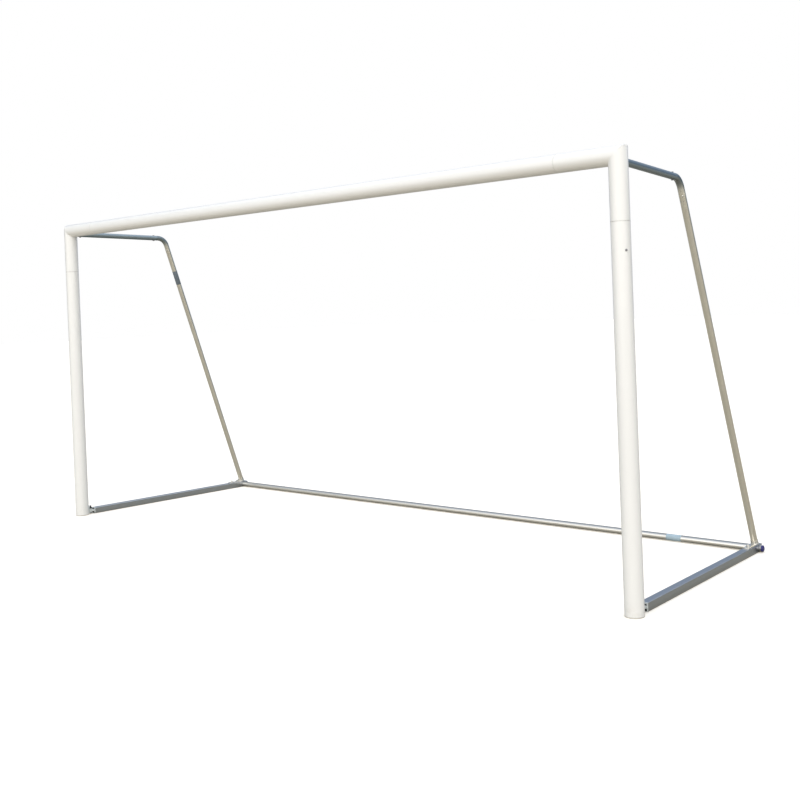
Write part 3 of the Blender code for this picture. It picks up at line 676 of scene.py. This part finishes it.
def wrapped_band(name, colour, worn):
    """A plain wrapped band: satin film with small wrinkles and scuffed edges."""
    f = Finish(name)
    tone = f.mix(f.noise(25, 5), colour, tuple(c * 0.85 for c in colour))
    scuff = f.span(f.noise(1.0, 6, 0.7, f.stretched((330, 330, 70))), 0.60, 0.72)
    tone = f.mix(f.times(scuff, 0.45), tone, worn)
    rough = f.span(f.noise(60, 3), 0.3, 0.7, 0.38, 0.55)
    wrinkle = f.bump(f.noise(1.0, 4, 0.6, f.stretched((90, 90, 260))), 0.0004, 0.45)
    grain = f.bump(f.noise(1400, 2), 0.00005, 0.5, wrinkle)
    return f.finish(tone, rough, 0.0, grain)


WHITE = white_paint("white_powder_coat")
# The top tube's steel is a darker blue-grey than the stay's: painted reflected shade of the ground below it.
TOP_STEEL = galvanised("galvanised_top_tube", (0.335, 0.40, 0.44), (0.24, 0.29, 0.31))
STAY_STEEL = galvanised("galvanised_stay", (0.86, 0.81, 0.70), (0.72, 0.68, 0.585))
BEND_STEEL = galvanised("galvanised_bend", (0.86, 0.81, 0.70), (0.72, 0.68, 0.585),
                        over=(0.25, 0.30, 0.325))
BAR_STEEL = galvanised("galvanised_base_bar", (0.45, 0.47, 0.49), (0.36, 0.375, 0.39),
                       arris=(0.66, 0.68, 0.70))
# The ground bar's darker top is a painted reflection, and its darker ends are painted shade.
GROUND_STEEL = galvanised("galvanised_ground_bar", (0.84, 0.82, 0.78), (0.70, 0.68, 0.64),
                          painted_top_reflection=(0.24, 0.255, 0.26), ends=(0.42, 0.42, 0.43))
SLEEVE_STEEL = galvanised("galvanised_sleeve", (0.45, 0.46, 0.46), (0.33, 0.34, 0.35))
DARK_ZINC = hardware("dark_zinc", (0.10, 0.10, 0.11))
FORGED = hardware("zinc_bracket", (0.80, 0.84, 0.84), rust=0.10, roughness=0.38, metallic=0.45)
TONGUE_STEEL = hardware("zinc_tongue", (0.90, 0.94, 0.94), rust=0.10, roughness=0.38, metallic=0.45,
                        slotted=True)
BUTTON_STEEL = hardware("button_steel", (0.34, 0.34, 0.35), rust=0.2)
BRIGHT_ZINC = hardware("bright_zinc", (0.90, 0.88, 0.83), rust=0.06, roughness=0.20)
BLUE = plastic("navy_plastic", (0.022, 0.022, 0.17), (0.16, 0.17, 0.38), 0.32, 0.2)
BLACK = plastic("black_plastic", (0.014, 0.014, 0.016), (0.12, 0.12, 0.12), 0.45)
IVORY = plastic("ivory_plastic", (0.74, 0.72, 0.67), (0.50, 0.48, 0.43), 0.46)
SLATE_BAND = wrapped_band("slate_band", (0.15, 0.18, 0.205), (0.33, 0.35, 0.37))
PALE_BAND = wrapped_band("pale_blue_band", (0.40, 0.52, 0.60), (0.70, 0.76, 0.80))


# ---- places on one side


class Side:
    """The lines that the pieces on one side lie on."""

    def __init__(self, name, sign):
        self.name = name
        self.sign = sign
        self.top_front = self.point(0, 0, TOP_FRONT_HEIGHT)
        self.bend = self.point(BEND_INSET, BEND_BEHIND, BEND_HEIGHT)
        self.foot = self.point(REAR_INSET, GROUND_BEHIND, BAR_Z)
        self.top_way = (self.bend - self.top_front).normalized()
        self.stay_way = (self.foot - self.bend).normalized()
        self.top_up = Vector((0, 0, 1)) - self.top_way * self.top_way.z
        self.top_up.normalize()
        self.bar = Matrix.Translation(self.point(0, 0, 0)) @ Matrix.Rotation(sign * TOE, 4, "Z")
        self.along_top = turned_to(self.top_front, self.top_way)
        self.along_stay = turned_to(self.bend, self.stay_way)

    def point(self, inset, behind, height):
        return Vector((self.sign * (POST_X - inset), POST_Y + behind, height))

    def on_bar(self, x, y, z):
        return self.bar @ Vector((x, y, z))


# ---- goal face


def snap_button(node, origin, outward, along, radius, tip, leaf, material):
    """A domed button on its spring leaf, riding on its own body."""
    leaf_level, anchor_level, width, length, thickness = leaf
    dome = radius * 0.6
    profile = [(0, leaf_level + thickness), (radius, leaf_level + thickness), (radius, tip - dome)]
    profile += [(radius * math.cos(a), tip - dome + dome * math.sin(a))
                for a in (math.radians(15 * i) for i in range(1, 6))]
    profile.append((0, tip))
    shape = Shape().turned(profile, BUTTON_SIDES)
    rings = []
    half = width / 2
    for i in range(25):
        t = i / 24
        x = -half + length * t
        ease = min(1, max(0, (t - 0.35) / 0.4))
        level = leaf_level + (anchor_level - leaf_level) * ease * ease * (3 - 2 * ease)
        near_end = min(x + half, length - half - x)
        side = half if near_end > half else math.sqrt(max(0.02, 1 - (1 - near_end / half) ** 2)) * half
        rings.append([Vector((x, side, level)), Vector((x, -side, level)),
                      Vector((x, -side, level + thickness)), Vector((x, side, level + thickness))])
    button = shape.skin(rings).object(node, turned_to(origin, outward, along))
    show(button, node, material, node + "_body")


def big_button(node, origin, outward, along):
    tip = POST_RADIUS + POST_BUTTON_TIP
    snap_button(node, origin, outward, along, POST_BUTTON_RADIUS, tip, POST_LEAF, BUTTON_STEEL)


def post_tube(side):
    name, sign = side.name, side.sign
    outward = Vector((sign * math.cos(POST_BUTTON_ANGLE), -math.sin(POST_BUTTON_ANGLE), 0))
    low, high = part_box(f"{name}_post")
    at = side.point(0, 0, POST_BUTTON_HEIGHT)
    stops = [POST_BUTTON_HEIGHT - HOLE_MARGIN, POST_BUTTON_HEIGHT + HOLE_MARGIN]
    post = Shape().tube(POST_RADIUS, POST_WALL, low.z, high.z, POST_SIDES, stops)
    post = post.object(f"{name}_post", Matrix.Translation(side.point(0, 0, 0)))
    carved(post, hole(at, outward, POST_BUTTON_RADIUS + 0.0006, *POST_CUT))
    show(post, f"{name}_post", WHITE)
    big_button(f"{name}_post_button", at, outward, (0, 0, 1))


def post_foot(side):
    """A moulded foot: a rounded rim with a ribbed hollow underneath."""
    node = f"{side.name}_post_foot"
    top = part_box(node)[1].z
    rim_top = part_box(f"{side.name}_post")[0].z - GAP
    plug = POST_RADIUS - POST_WALL - 0.0006
    profile = [(0, PLUG_HOLLOW), (0.030, PLUG_HOLLOW), (0.032, 0.0), (POST_RADIUS - 0.0015, 0.0)]
    profile += [(POST_RADIUS - 0.0004, 0.0005), (POST_RADIUS, 0.0016), (POST_RADIUS, rim_top - 0.0005)]
    profile += [(POST_RADIUS - 0.0005, rim_top), (plug, rim_top), (plug, top - 0.003)]
    profile += [(plug - 0.002, top), (0, top)]
    foot = Shape().turned(profile, POST_SIDES)
    for i in range(3):
        rib = Shape().box((-0.031, -0.001, 0.001), (0.031, 0.001, PLUG_HOLLOW + 0.0008))
        foot.add(rib, Matrix.Rotation(math.pi * i / 3, 4, "Z"))
    show(foot.object(node, Matrix.Translation(side.point(0, 0, 0))), node, IVORY)


def mitre_point(p, sign):
    """A point of the mitre's edge, drawn in a little at the outer tip."""
    ease = TIP_EASE * 0.35 * max(0, sign * p.x / POST_RADIUS) ** 10
    return Vector((p.x - sign * ease, p.y, sign * p.x - ease))


def corner(side):
    """A mitred fitting: both legs with eased ends, and a dressed weld round the mitre.

    The weld lies deeper where it faces front and back, so that it stays within the tubes' own depth.
    """
    name, sign = side.name, side.sign
    drop = CROSSBAR_Z - SEAM_Z
    reach = POST_X - SEAM_X
    rings = []
    inner = POST_RADIUS - POST_WALL
    for radius, leg in ((POST_RADIUS - CHAMFER, 0), (POST_RADIUS, CHAMFER)):
        rings.append([Vector((p.x, p.y, leg - drop)) for p in circle(radius, 0, POST_SIDES)])
    around = circle(POST_RADIUS, 0, POST_SIDES)
    rings.append([Vector((p.x, p.y, sign * p.x - TIP_EASE)) for p in around])
    rings.append([mitre_point(p, sign) for p in around])
    rings.append([Vector((p.x - sign * TIP_EASE, p.y, sign * p.x)) for p in around])
    for radius, leg in ((POST_RADIUS, CHAMFER), (POST_RADIUS - CHAMFER, 0), (inner, 0)):
        rings.append([Vector((sign * (leg - reach), p.y, sign * p.x)) for p in circle(radius, 0, POST_SIDES)])
    rings.append([Vector((p.x, p.y, sign * p.x)) for p in circle(inner, 0, POST_SIDES)])
    rings.append([Vector((p.x, p.y, -drop)) for p in circle(inner, 0, POST_SIDES)])
    shape = Shape().skin(rings, wrap=True)
    path = []
    for p in around:
        inset = MITRE_INSET + MITRE_EXTRA_INSET * abs(p.y / POST_RADIUS) ** 8
        path.append(mitre_point(p * (1 - inset / POST_RADIUS), sign))
    shape.bead(path, closed=True, radius=MITRE_BEAD)
    fitting = shape.object(f"{name}_corner", Matrix.Translation(side.point(0, 0, CROSSBAR_Z)))
    show(fitting, f"{name}_corner", WHITE, angle=40)


def crossbar():
    centre = Vector((0, POST_Y, CROSSBAR_Z))
    half = SEAM_X - SEAM
    beside = (-HOLE_MARGIN, HOLE_MARGIN)
    stops = [s * CROSSBAR_BUTTON_AT + d for s in (-1, 1) for d in beside] + [0.0]
    bar = Shape().tube(POST_RADIUS, POST_WALL, -half, half, POST_SIDES, stops)
    bar = bar.object("crossbar", turned_to(centre, (1, 0, 0), (0, 1, 0)))
    back = Vector((0, 1, 0))
    cutters = []
    for name, sign in SIDES.items():
        at = centre + Vector((sign * CROSSBAR_BUTTON_AT, 0, 0))
        cutters.append(hole(at, back, POST_BUTTON_RADIUS + 0.0006, *POST_CUT))
        big_button(f"{name}_crossbar_button", at, back, (sign, 0, 0))
    show(carved(bar, *cutters), "crossbar", WHITE)


# ---- base bars and their brackets


def rounded_square(size, radius, steps=5):
    """Points round a square section with rounded corners, about its middle."""
    points = []
    for corner_at in range(4):
        centre = Vector((1, 1, 0)) * (size / 2 - radius)
        turn = Matrix.Rotation(math.pi / 2 * corner_at, 3, "Z")
        for i in range(steps):
            angle = math.pi / 2 * i / (steps - 1)
            points.append(turn @ (centre + Vector((math.cos(angle), math.sin(angle), 0)) * radius))
    return points


def base_bar(side):
    node = f"{side.name}_base_bar"
    outer = rounded_square(BAR_SIZE, 0.0035)
    eased = rounded_square(BAR_SIZE - 2 * CHAMFER, 0.003)
    inner = rounded_square(BAR_SIZE - 2 * BAR_WALL, 0.0015)
    rings = []
    for section, y in (
        (eased, BAR_START), (outer, BAR_START + CHAMFER), (outer, BAR_END - CHAMFER),
        (eased, BAR_END), (inner, BAR_END), (inner, BAR_START),
    ):
        rings.append([Vector((p.x, p.y, y)) for p in section])
    place = side.bar @ Matrix.Translation((0, 0, BAR_Z)) @ Matrix.Rotation(-math.pi / 2, 4, "X")
    bar = Shape().skin(rings, wrap=True).object(node, place)
    ground_centre = Vector((0, POST_Y + GROUND_BEHIND, BAR_Z))
    ground = hole(ground_centre, (1, 0, 0), TUBE_RADIUS + 0.0004, *GROUND_CUT)
    bolt = hole(side.on_bar(0, FOOT_BOLT_AT, 0), (0, 0, 1), FOOT_BORE, *FOOT_CUT)
    show(carved(bar, ground, bolt), node, BAR_STEEL)
    plug = f"{side.name}_bar_plug"
    show(softened(plug, 0.0007), plug, BLACK)


def bar_tongue(side):
    """The plate on the bar's front end, slotted above and below its tongue, with a weld round three edges."""
    node = f"{side.name}_bar_tongue"
    half = BAR_SIZE / 2 - WELD_SEAT
    seam = BAR_START - 0.0002
    top = 2 * BAR_Z - WELD_SEAT
    corners = ((-half, 0.004), (-half, top), (half, top), (half, 0.004))
    welds = Shape().bead([side.on_bar(x, seam, z) for x, z in corners])
    slots = []
    for low, high in SLOT_LEVELS:
        near = (-SLOT_HALF, PLATE_FRONT - 0.002, low)
        far = (SLOT_HALF, PLATE_FRONT + SLOT_DEPTH, high)
        slots.append(Shape().box(near, far).object("slot", side.bar))
    show(joined(carved(softened(node), *slots), welds), node, TONGUE_STEEL)


def post_bracket(side):
    """The saddle and its fork plates, with welds up both sides of the saddle and over its top."""
    node = f"{side.name}_post_bracket"
    low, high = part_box(node)
    width = BRACKET_PLATE_WIDTH / 2

    def on_post(x, z):
        return side.on_bar(x, math.sqrt(POST_RADIUS ** 2 - x ** 2) + WELD_SEAT, z)

    welds = Shape()
    for x in (-width, width):
        welds.bead([on_post(x, low.z + 0.001), on_post(x, high.z - 0.001)])
    welds.bead([on_post(width * (i / 6 - 1), high.z) for i in range(13)])
    show(joined(softened(node), welds), node, FORGED)


def bracket_fasteners(side):
    name = side.name
    place = side.bar @ Matrix.Translation((0, BRACKET_BOLT_AT, 0))
    low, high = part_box(f"{name}_bracket_bolt")
    nut_low, nut_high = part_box(f"{name}_bracket_nut")
    radius = BRACKET_BOLT_RADIUS
    head_top = low.z + BRACKET_HEAD
    shank_end = nut_low.z - 0.001
    bolt = Shape().hexagon(BRACKET_HEX, low.z, head_top, eased=(True, False))
    bolt.rod(radius, head_top - 0.001, shank_end, BOLT_SIDES)
    bolt.thread(radius, shank_end - 0.0005, high.z)
    show(bolt.object(name, place), f"{name}_bracket_bolt", DARK_ZINC)
    nut = Shape().hexagon(BRACKET_HEX, nut_low.z, nut_high.z, bore=radius + GAP)
    show(nut.object(name, place), f"{name}_bracket_nut", DARK_ZINC)


# ---- top tubes, bends and stays


def inside_corner(point, side):
    """True inside the corner fitting's outer skin."""
    x = point.x - side.sign * POST_X
    y = point.y - POST_Y
    z = point.z - CROSSBAR_Z
    if z < side.sign * x:
        return math.hypot(x, y) < POST_RADIUS
    return math.hypot(z, y) < POST_RADIUS


def meeting_line(side, radius):
    """Where a cylinder about the top tube's line meets the corner fitting."""
    points = []
    for p in circle(radius, 0, ROD_SIDES):
        near, far = 0.0, 0.08
        for _ in range(24):
            middle = (near + far) / 2
            if inside_corner(side.along_top @ Vector((p.x, p.y, middle)), side):
                near = middle
            else:
                far = middle
        points.append(side.along_top @ Vector((p.x, p.y, far)))
    return points


def top_spigot(side):
    """The stub that the top tube slides over, with the weld that holds it on the corner fitting."""
    node = f"{side.name}_top_spigot"
    collar = TUBE_RADIUS - GAP
    rod = TUBE_RADIUS - TUBE_WALL - 0.0005
    bore = rod - 0.003
    step = TOP_TUBE_START - GAP
    root = meeting_line(side, collar)
    inverse = side.along_top.inverted()
    rings = [[Vector((0, 0, 0.047))], [inverse @ p + Vector((0, 0, 0.0003)) for p in root]]
    rings += [circle(collar, step - 0.0006, ROD_SIDES), circle(collar - 0.0006, step, ROD_SIDES)]
    rings += [circle(rod, step, ROD_SIDES), circle(rod, SPIGOT_END - 0.001, ROD_SIDES)]
    rings += [circle(rod - 0.001, SPIGOT_END, ROD_SIDES), circle(bore, SPIGOT_END, ROD_SIDES)]
    rings.append(circle(bore, step + 0.01, ROD_SIDES))
    rings.append([Vector((0, 0, step + 0.01))])
    shape = Shape().skin(rings)
    weld = [inverse @ p for p in meeting_line(side, collar + 0.0004)]
    shape.bead([p + Vector((0, 0, 0.0008)) for p in weld], closed=True, radius=0.0022)
    spigot = shape.object(node, side.along_top)
    bolt = hole(side.top_front + side.top_way * FRONT_BOLT_AT, side.top_up, 0.0045, *THROUGH_CUT)
    show(carved(spigot, bolt), node, WHITE)


def through_bolt(side, label, at):
    """A low hexagonal head on top of the tube and a thin nut under it."""
    name = f"{side.name}_top_{label}"
    place = turned_to(side.top_front + side.top_way * at, side.top_up, side.top_way)
    reach = TUBE_RADIUS + GAP
    radius = SMALL_BOLT_RADIUS
    bolt = Shape().rod(radius, 0.001 - reach, reach + 0.001, BOLT_SIDES)
    thread = Shape().thread(radius, reach - 0.002, reach + SMALL_BOLT_TIP)
    bolt.add(thread, Matrix.Rotation(math.pi, 4, "X"))
    bolt.hexagon(SMALL_HEX, reach, reach + SMALL_HEAD, eased=(False, True))
    show(bolt.object(name, place), f"{name}_bolt", BUTTON_STEEL)
    nut = Shape().hexagon(SMALL_HEX, -reach - SMALL_NUT, -reach, bore=radius + GAP)
    show(nut.object(name, place), f"{name}_nut", BUTTON_STEEL)


def top_tube(side):
    name = side.name
    through_bolt(side, "front", FRONT_BOLT_AT)
    through_bolt(side, "rear", REAR_BOLT_AT)
    bolts = (FRONT_BOLT_AT, REAR_BOLT_AT)
    stops = [at + d for at in bolts for d in (-HOLE_MARGIN, HOLE_MARGIN)]
    tube = Shape().tube(TUBE_RADIUS, TUBE_WALL, TOP_TUBE_START, TOP_TUBE_END, TUBE_SIDES, stops)
    tube = tube.object(name, side.along_top)
    cutters = [hole(side.top_front + side.top_way * at, side.top_up, 0.0046, *THROUGH_CUT) for at in bolts]
    show(carved(tube, *cutters), f"{name}_top_tube", TOP_STEEL)


def stay_bend(side):
    """The bent tube from the top tube to the stay, with its snap button."""
    name = side.name
    turn = side.top_way.angle(side.stay_way)
    tangent = BEND_RADIUS * math.tan(turn / 2)
    seam = (side.bend - side.top_front).length - TOP_TUBE_END - GAP
    inward = (side.stay_way - side.top_way).normalized()
    centre = side.bend + inward * (BEND_RADIUS / math.cos(turn / 2))
    start = side.bend - side.top_way * tangent
    axis = side.top_way.cross(side.stay_way).normalized()
    path = [side.bend - side.top_way * seam]
    for i in range(29):
        path.append(centre + Matrix.Rotation(turn * i / 28, 4, axis) @ (start - centre))
    for at in (STAY_BUTTON_AT - 0.010, STAY_BUTTON_AT + 0.010, BEND_END):
        path.append(side.bend + side.stay_way * at)
    bend = Shape().pipe(path, TUBE_RADIUS, TUBE_WALL, axis, TUBE_SIDES).object(name)
    at = side.bend + side.stay_way * STAY_BUTTON_AT
    outward = Vector((math.cos(STAY_BUTTON_ANGLE), -math.sin(STAY_BUTTON_ANGLE), 0))
    outward -= side.stay_way * side.stay_way.dot(outward)
    carved(bend, hole(at, outward, STAY_BUTTON_RADIUS + 0.0005, *STAY_CUT))
    show(bend, f"{name}_stay_bend", BEND_STEEL)
    node = f"{name}_stay_button"
    tip = TUBE_RADIUS + STAY_BUTTON_TIP
    snap_button(node, at, outward, side.stay_way, STAY_BUTTON_RADIUS, tip, STAY_LEAF, BRIGHT_ZINC)


def stay(side):
    name = side.name
    end = (BEND_HEIGHT - STAY_END_HEIGHT) / -side.stay_way.z
    tube = Shape().tube(TUBE_RADIUS, TUBE_WALL, BEND_END + SEAM, end, TUBE_SIDES, [0.5, 1.0, 1.5])
    show(tube.object(name, side.along_stay), f"{name}_stay", STAY_STEEL)


def stay_foot(side):
    """The foot plate with its socket and web, and the welds round the socket and along the web."""
    node = f"{side.name}_stay_foot"
    way = -side.stay_way
    ring = []
    for p in circle(SOCKET_RADIUS + 0.0006, 0, ROD_SIDES):
        base = turned_to(side.foot, way) @ p
        ring.append(base + way * ((FOOT_PLATE_TOP + 0.0006 - base.z) / way.z))
    welds = Shape().bead(ring, closed=True, radius=0.0023)
    for x in (-0.0034, 0.0034):
        welds.bead([side.on_bar(x, y, FOOT_PLATE_TOP + 0.0003) for y in (1.440, 1.506)], radius=0.0014)
    show(joined(softened(node, 0.0007), welds), node, BRIGHT_ZINC)


def foot_fasteners(side):
    """The foot plate's bolt, with its head inside the bar, and the flanged nut with a domed top."""
    name = side.name
    place = side.bar @ Matrix.Translation((0, FOOT_BOLT_AT, 0))
    low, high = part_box(f"{name}_foot_bolt")
    under = BAR_SIZE - BAR_WALL - GAP
    bolt = Shape().hexagon(FOOT_HEX, low.z, under, eased=(True, False))
    bolt.thread(FOOT_BOLT_RADIUS, under - 0.001, high.z)
    show(bolt.object(name, place), f"{name}_foot_bolt", DARK_ZINC)

    low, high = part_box(f"{name}_foot_nut")
    base, top = low.z, high.z
    flange = [(FOOT_BORE, base), (NUT_FLANGE - 0.0002, base), (NUT_FLANGE, base + 0.0008)]
    flange += [(NUT_FLANGE - 0.0015, base + 0.0022), (FOOT_BORE, base + 0.0022)]
    nut = Shape().turned(flange, BUTTON_SIDES, wrap=True)
    nut.hexagon(NUT_HEX, base + 0.0018, base + NUT_SIDES_TOP, bore=FOOT_BORE)
    rim = base + NUT_DOME_BASE
    dome = [(0, rim - 0.0006), (FOOT_BORE, rim - 0.0006), (NUT_DOME_RADIUS, rim)]
    dome += [(NUT_DOME_RADIUS * math.cos(a), rim + (top - rim) * math.sin(a))
             for a in (math.radians(15 * i) for i in range(1, 6))]
    nut.turned([*dome, (0, top)], BUTTON_SIDES)
    show(nut.object(name, place), f"{name}_foot_nut", BRIGHT_ZINC)


# ---- ground bar, caps and bands


def ground_bar():
    centre = Vector((0, POST_Y + GROUND_BEHIND, BAR_Z))
    half = GROUND_BAR_HALF
    bar = Shape().tube(TUBE_RADIUS, TUBE_WALL, -half, half, TUBE_SIDES, [-1.2, 0.0, 1.2])
    show(bar.object("bar", turned_to(centre, (1, 0, 0))), "ground_bar", GROUND_STEEL)
    for name, sign in SIDES.items():
        node = f"{name}_ground_cap"
        low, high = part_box(node)
        end = max(abs(low.x), abs(high.x))
        inner = TUBE_RADIUS - TUBE_WALL - 0.0005
        start = half + GAP
        shoulder = start + CAP_RIM
        plug = half - CAP_PLUG
        groove = TUBE_RADIUS - 0.0006
        profile = [(0, plug), (inner - 0.001, plug), (inner, plug + 0.001), (inner, start)]
        profile += [(groove, start), (TUBE_RADIUS, start + 0.0006), (TUBE_RADIUS, start + 0.0024)]
        profile += [(groove, start + 0.0029), (groove, start + 0.0035), (TUBE_RADIUS, start + 0.0040)]
        profile.append((TUBE_RADIUS, shoulder))
        profile += [(TUBE_RADIUS * math.cos(a), shoulder + (end - shoulder) * math.sin(a))
                    for a in (math.radians(7.5 * i) for i in range(1, 12))]
        profile.append((0, end))
        cap = Shape().turned(profile, TUBE_SIDES).object(node, turned_to(centre, (sign, 0, 0)))
        show(cap, node, BLUE)


def band(node, place, length, material):
    """A film wrapped round a tube. The lapped stretch stands higher."""
    inner = TUBE_RADIUS + GAP
    low, high = length
    edge, lift = 0.0003, 0.0001
    rings = [circle(inner, low, BAND_SIDES)]
    outside = ((low, inner), (low + edge, inner + lift), (high - edge, inner + lift), (high, inner))
    for height, radius in outside:
        ring = circle(radius, height, BAND_SIDES)
        ring[:BAND_LAP] = circle(radius + BAND_RISE, height, BAND_SIDES)[:BAND_LAP]
        rings.append(ring)
    rings.append(circle(inner, high, BAND_SIDES))
    show(Shape().skin(rings, wrap=True).object(node, place), node, material)


def bands(sides):
    band("left_stay_band", sides["left"].along_stay, STAY_BAND, SLATE_BAND)
    low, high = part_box("ground_bar_band")
    place = turned_to(Vector((0, POST_Y + GROUND_BEHIND, BAR_Z)), (1, 0, 0))
    band("ground_bar_band", place, (low.x, high.x), PALE_BAND)


def sleeves():
    """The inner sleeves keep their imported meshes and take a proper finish."""
    for name in SIDES:
        for part in ("post_sleeve", "crossbar_sleeve", "stay_sleeve", "top_coupler"):
            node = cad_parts[f"{name}_{part}"]
            node.data.materials.clear()
            node.data.materials.append(SLEEVE_STEEL)


# ---- studio


def floor():
    """A plain pale floor. It throws less light up than it shows, so that undersides keep their shade."""
    f = Finish("pale_floor")
    tone = f.mix(f.noise(0.6, 2, source=f.place), *FLOOR_TONES)
    seen = f.node("ShaderNodeLightPath").outputs["Is Camera Ray"]
    lift = {"Emission_Color": FLOOR_LIFT_COLOUR, "Emission_Strength": f.times(seen, FLOOR_LIFT)}
    material = f.finish(f.mix(seen, FLOOR_THROWN, tone), 0.9, **lift)
    bm = bmesh.new()
    bmesh.ops.create_grid(bm, x_segments=1, y_segments=1, size=FLOOR_HALF)
    mesh = mesh_from("floor", bm)
    mesh.materials.append(material)
    placed("floor", mesh, Matrix.Translation((0, 0, -FLOOR_DROP)))


def area_light(name, place, target, size, power, colour):
    light = bpy.data.lights.new(name, "AREA")
    light.shape = "DISK"
    light.size = size
    light.energy = power
    light.color = colour
    placed(name, light, turned_to(Vector(place), Vector(place) - Vector(target)))


def studio():
    """A soft surround: bright on the side of the camera, dim behind, cool overhead. It shows plain white."""
    world = bpy.data.worlds.new("studio")
    world.use_nodes = True
    bpy.context.scene.world = world
    tree = world.node_tree
    tree.nodes.clear()

    def node(kind, inputs=None, **settings):
        return add_node(tree, kind, inputs, **settings).outputs

    way = node("ShaderNodeTexCoord")["Generated"]
    towards = (math.sin(BRIGHT_YAW), -math.cos(BRIGHT_YAW), 0.0)
    side = node("ShaderNodeVectorMath", {0: way, 1: towards}, operation="DOT_PRODUCT")["Value"]
    up = node("ShaderNodeSeparateXYZ", {0: way})[2]

    def ramp(value, low, high):
        inputs = {"Value": value, "From Min": low, "From Max": high}
        return node("ShaderNodeMapRange", inputs, interpolation_type="SMOOTHSTEP")["Result"]

    def mix(amount, first, second):
        return node("ShaderNodeMix", {0: amount, 6: first, 7: second}, data_type="RGBA")[2]

    around = mix(ramp(side, -0.05, 0.75), DIM_SIDE, BRIGHT_SIDE)
    around = mix(ramp(side, -0.5, -0.9), around, BEHIND)
    all_round = mix(ramp(up, 0.3, 0.85), around, OVERHEAD)
    light = node("ShaderNodeBackground", {0: all_round, 1: SURROUND_POWER})[0]
    white = node("ShaderNodeBackground", {0: (1, 1, 1), 1: 1.0})[0]
    seen = node("ShaderNodeLightPath")["Is Camera Ray"]
    mixed = node("ShaderNodeMixShader", {0: seen, 1: light, 2: white})[0]
    node("ShaderNodeOutputWorld", {0: mixed})
    area_light("key", (3.5, -6.5, 5.5), (0, 0, 0.8), size=4.0, power=48, colour=(1.0, 0.99, 0.97))
    area_light("fill", (6.0, 6.0, 6.5), (0, 0, 1.0), size=5.0, power=50, colour=(0.95, 0.97, 1.0))
    bpy.context.scene.view_settings.view_transform = "Standard"


def camera():
    sin_yaw, cos_yaw = math.sin(CAMERA_YAW), math.cos(CAMERA_YAW)
    sin_pitch, cos_pitch = math.sin(CAMERA_PITCH), math.cos(CAMERA_PITCH)
    look = Vector((-sin_yaw * cos_pitch, cos_yaw * cos_pitch, sin_pitch))
    level = Vector((cos_yaw, sin_yaw, 0))
    down = look.cross(level)
    right = level * math.cos(CAMERA_ROLL) + down * math.sin(CAMERA_ROLL)
    down = down * math.cos(CAMERA_ROLL) - level * math.sin(CAMERA_ROLL)
    data = bpy.data.cameras.new("camera")
    data.lens = CAMERA_LENS
    data.sensor_width = 36
    data.shift_y = CAMERA_SHIFT
    data.clip_end = 200
    turn = Matrix((right, -down, -look)).transposed().to_4x4()
    bpy.context.scene.camera = placed("camera", data, Matrix.Translation(CAMERA_PLACE) @ turn)


def build():
    sides = {name: Side(name, sign) for name, sign in SIDES.items()}
    crossbar()
    ground_bar()
    for side in sides.values():
        post_tube(side)
        post_foot(side)
        corner(side)
        base_bar(side)
        bar_tongue(side)
        post_bracket(side)
        bracket_fasteners(side)
        top_spigot(side)
        top_tube(side)
        stay_bend(side)
        stay(side)
        stay_foot(side)
        foot_fasteners(side)
    bands(sides)
    sleeves()
    floor()
    studio()
    camera()


build()
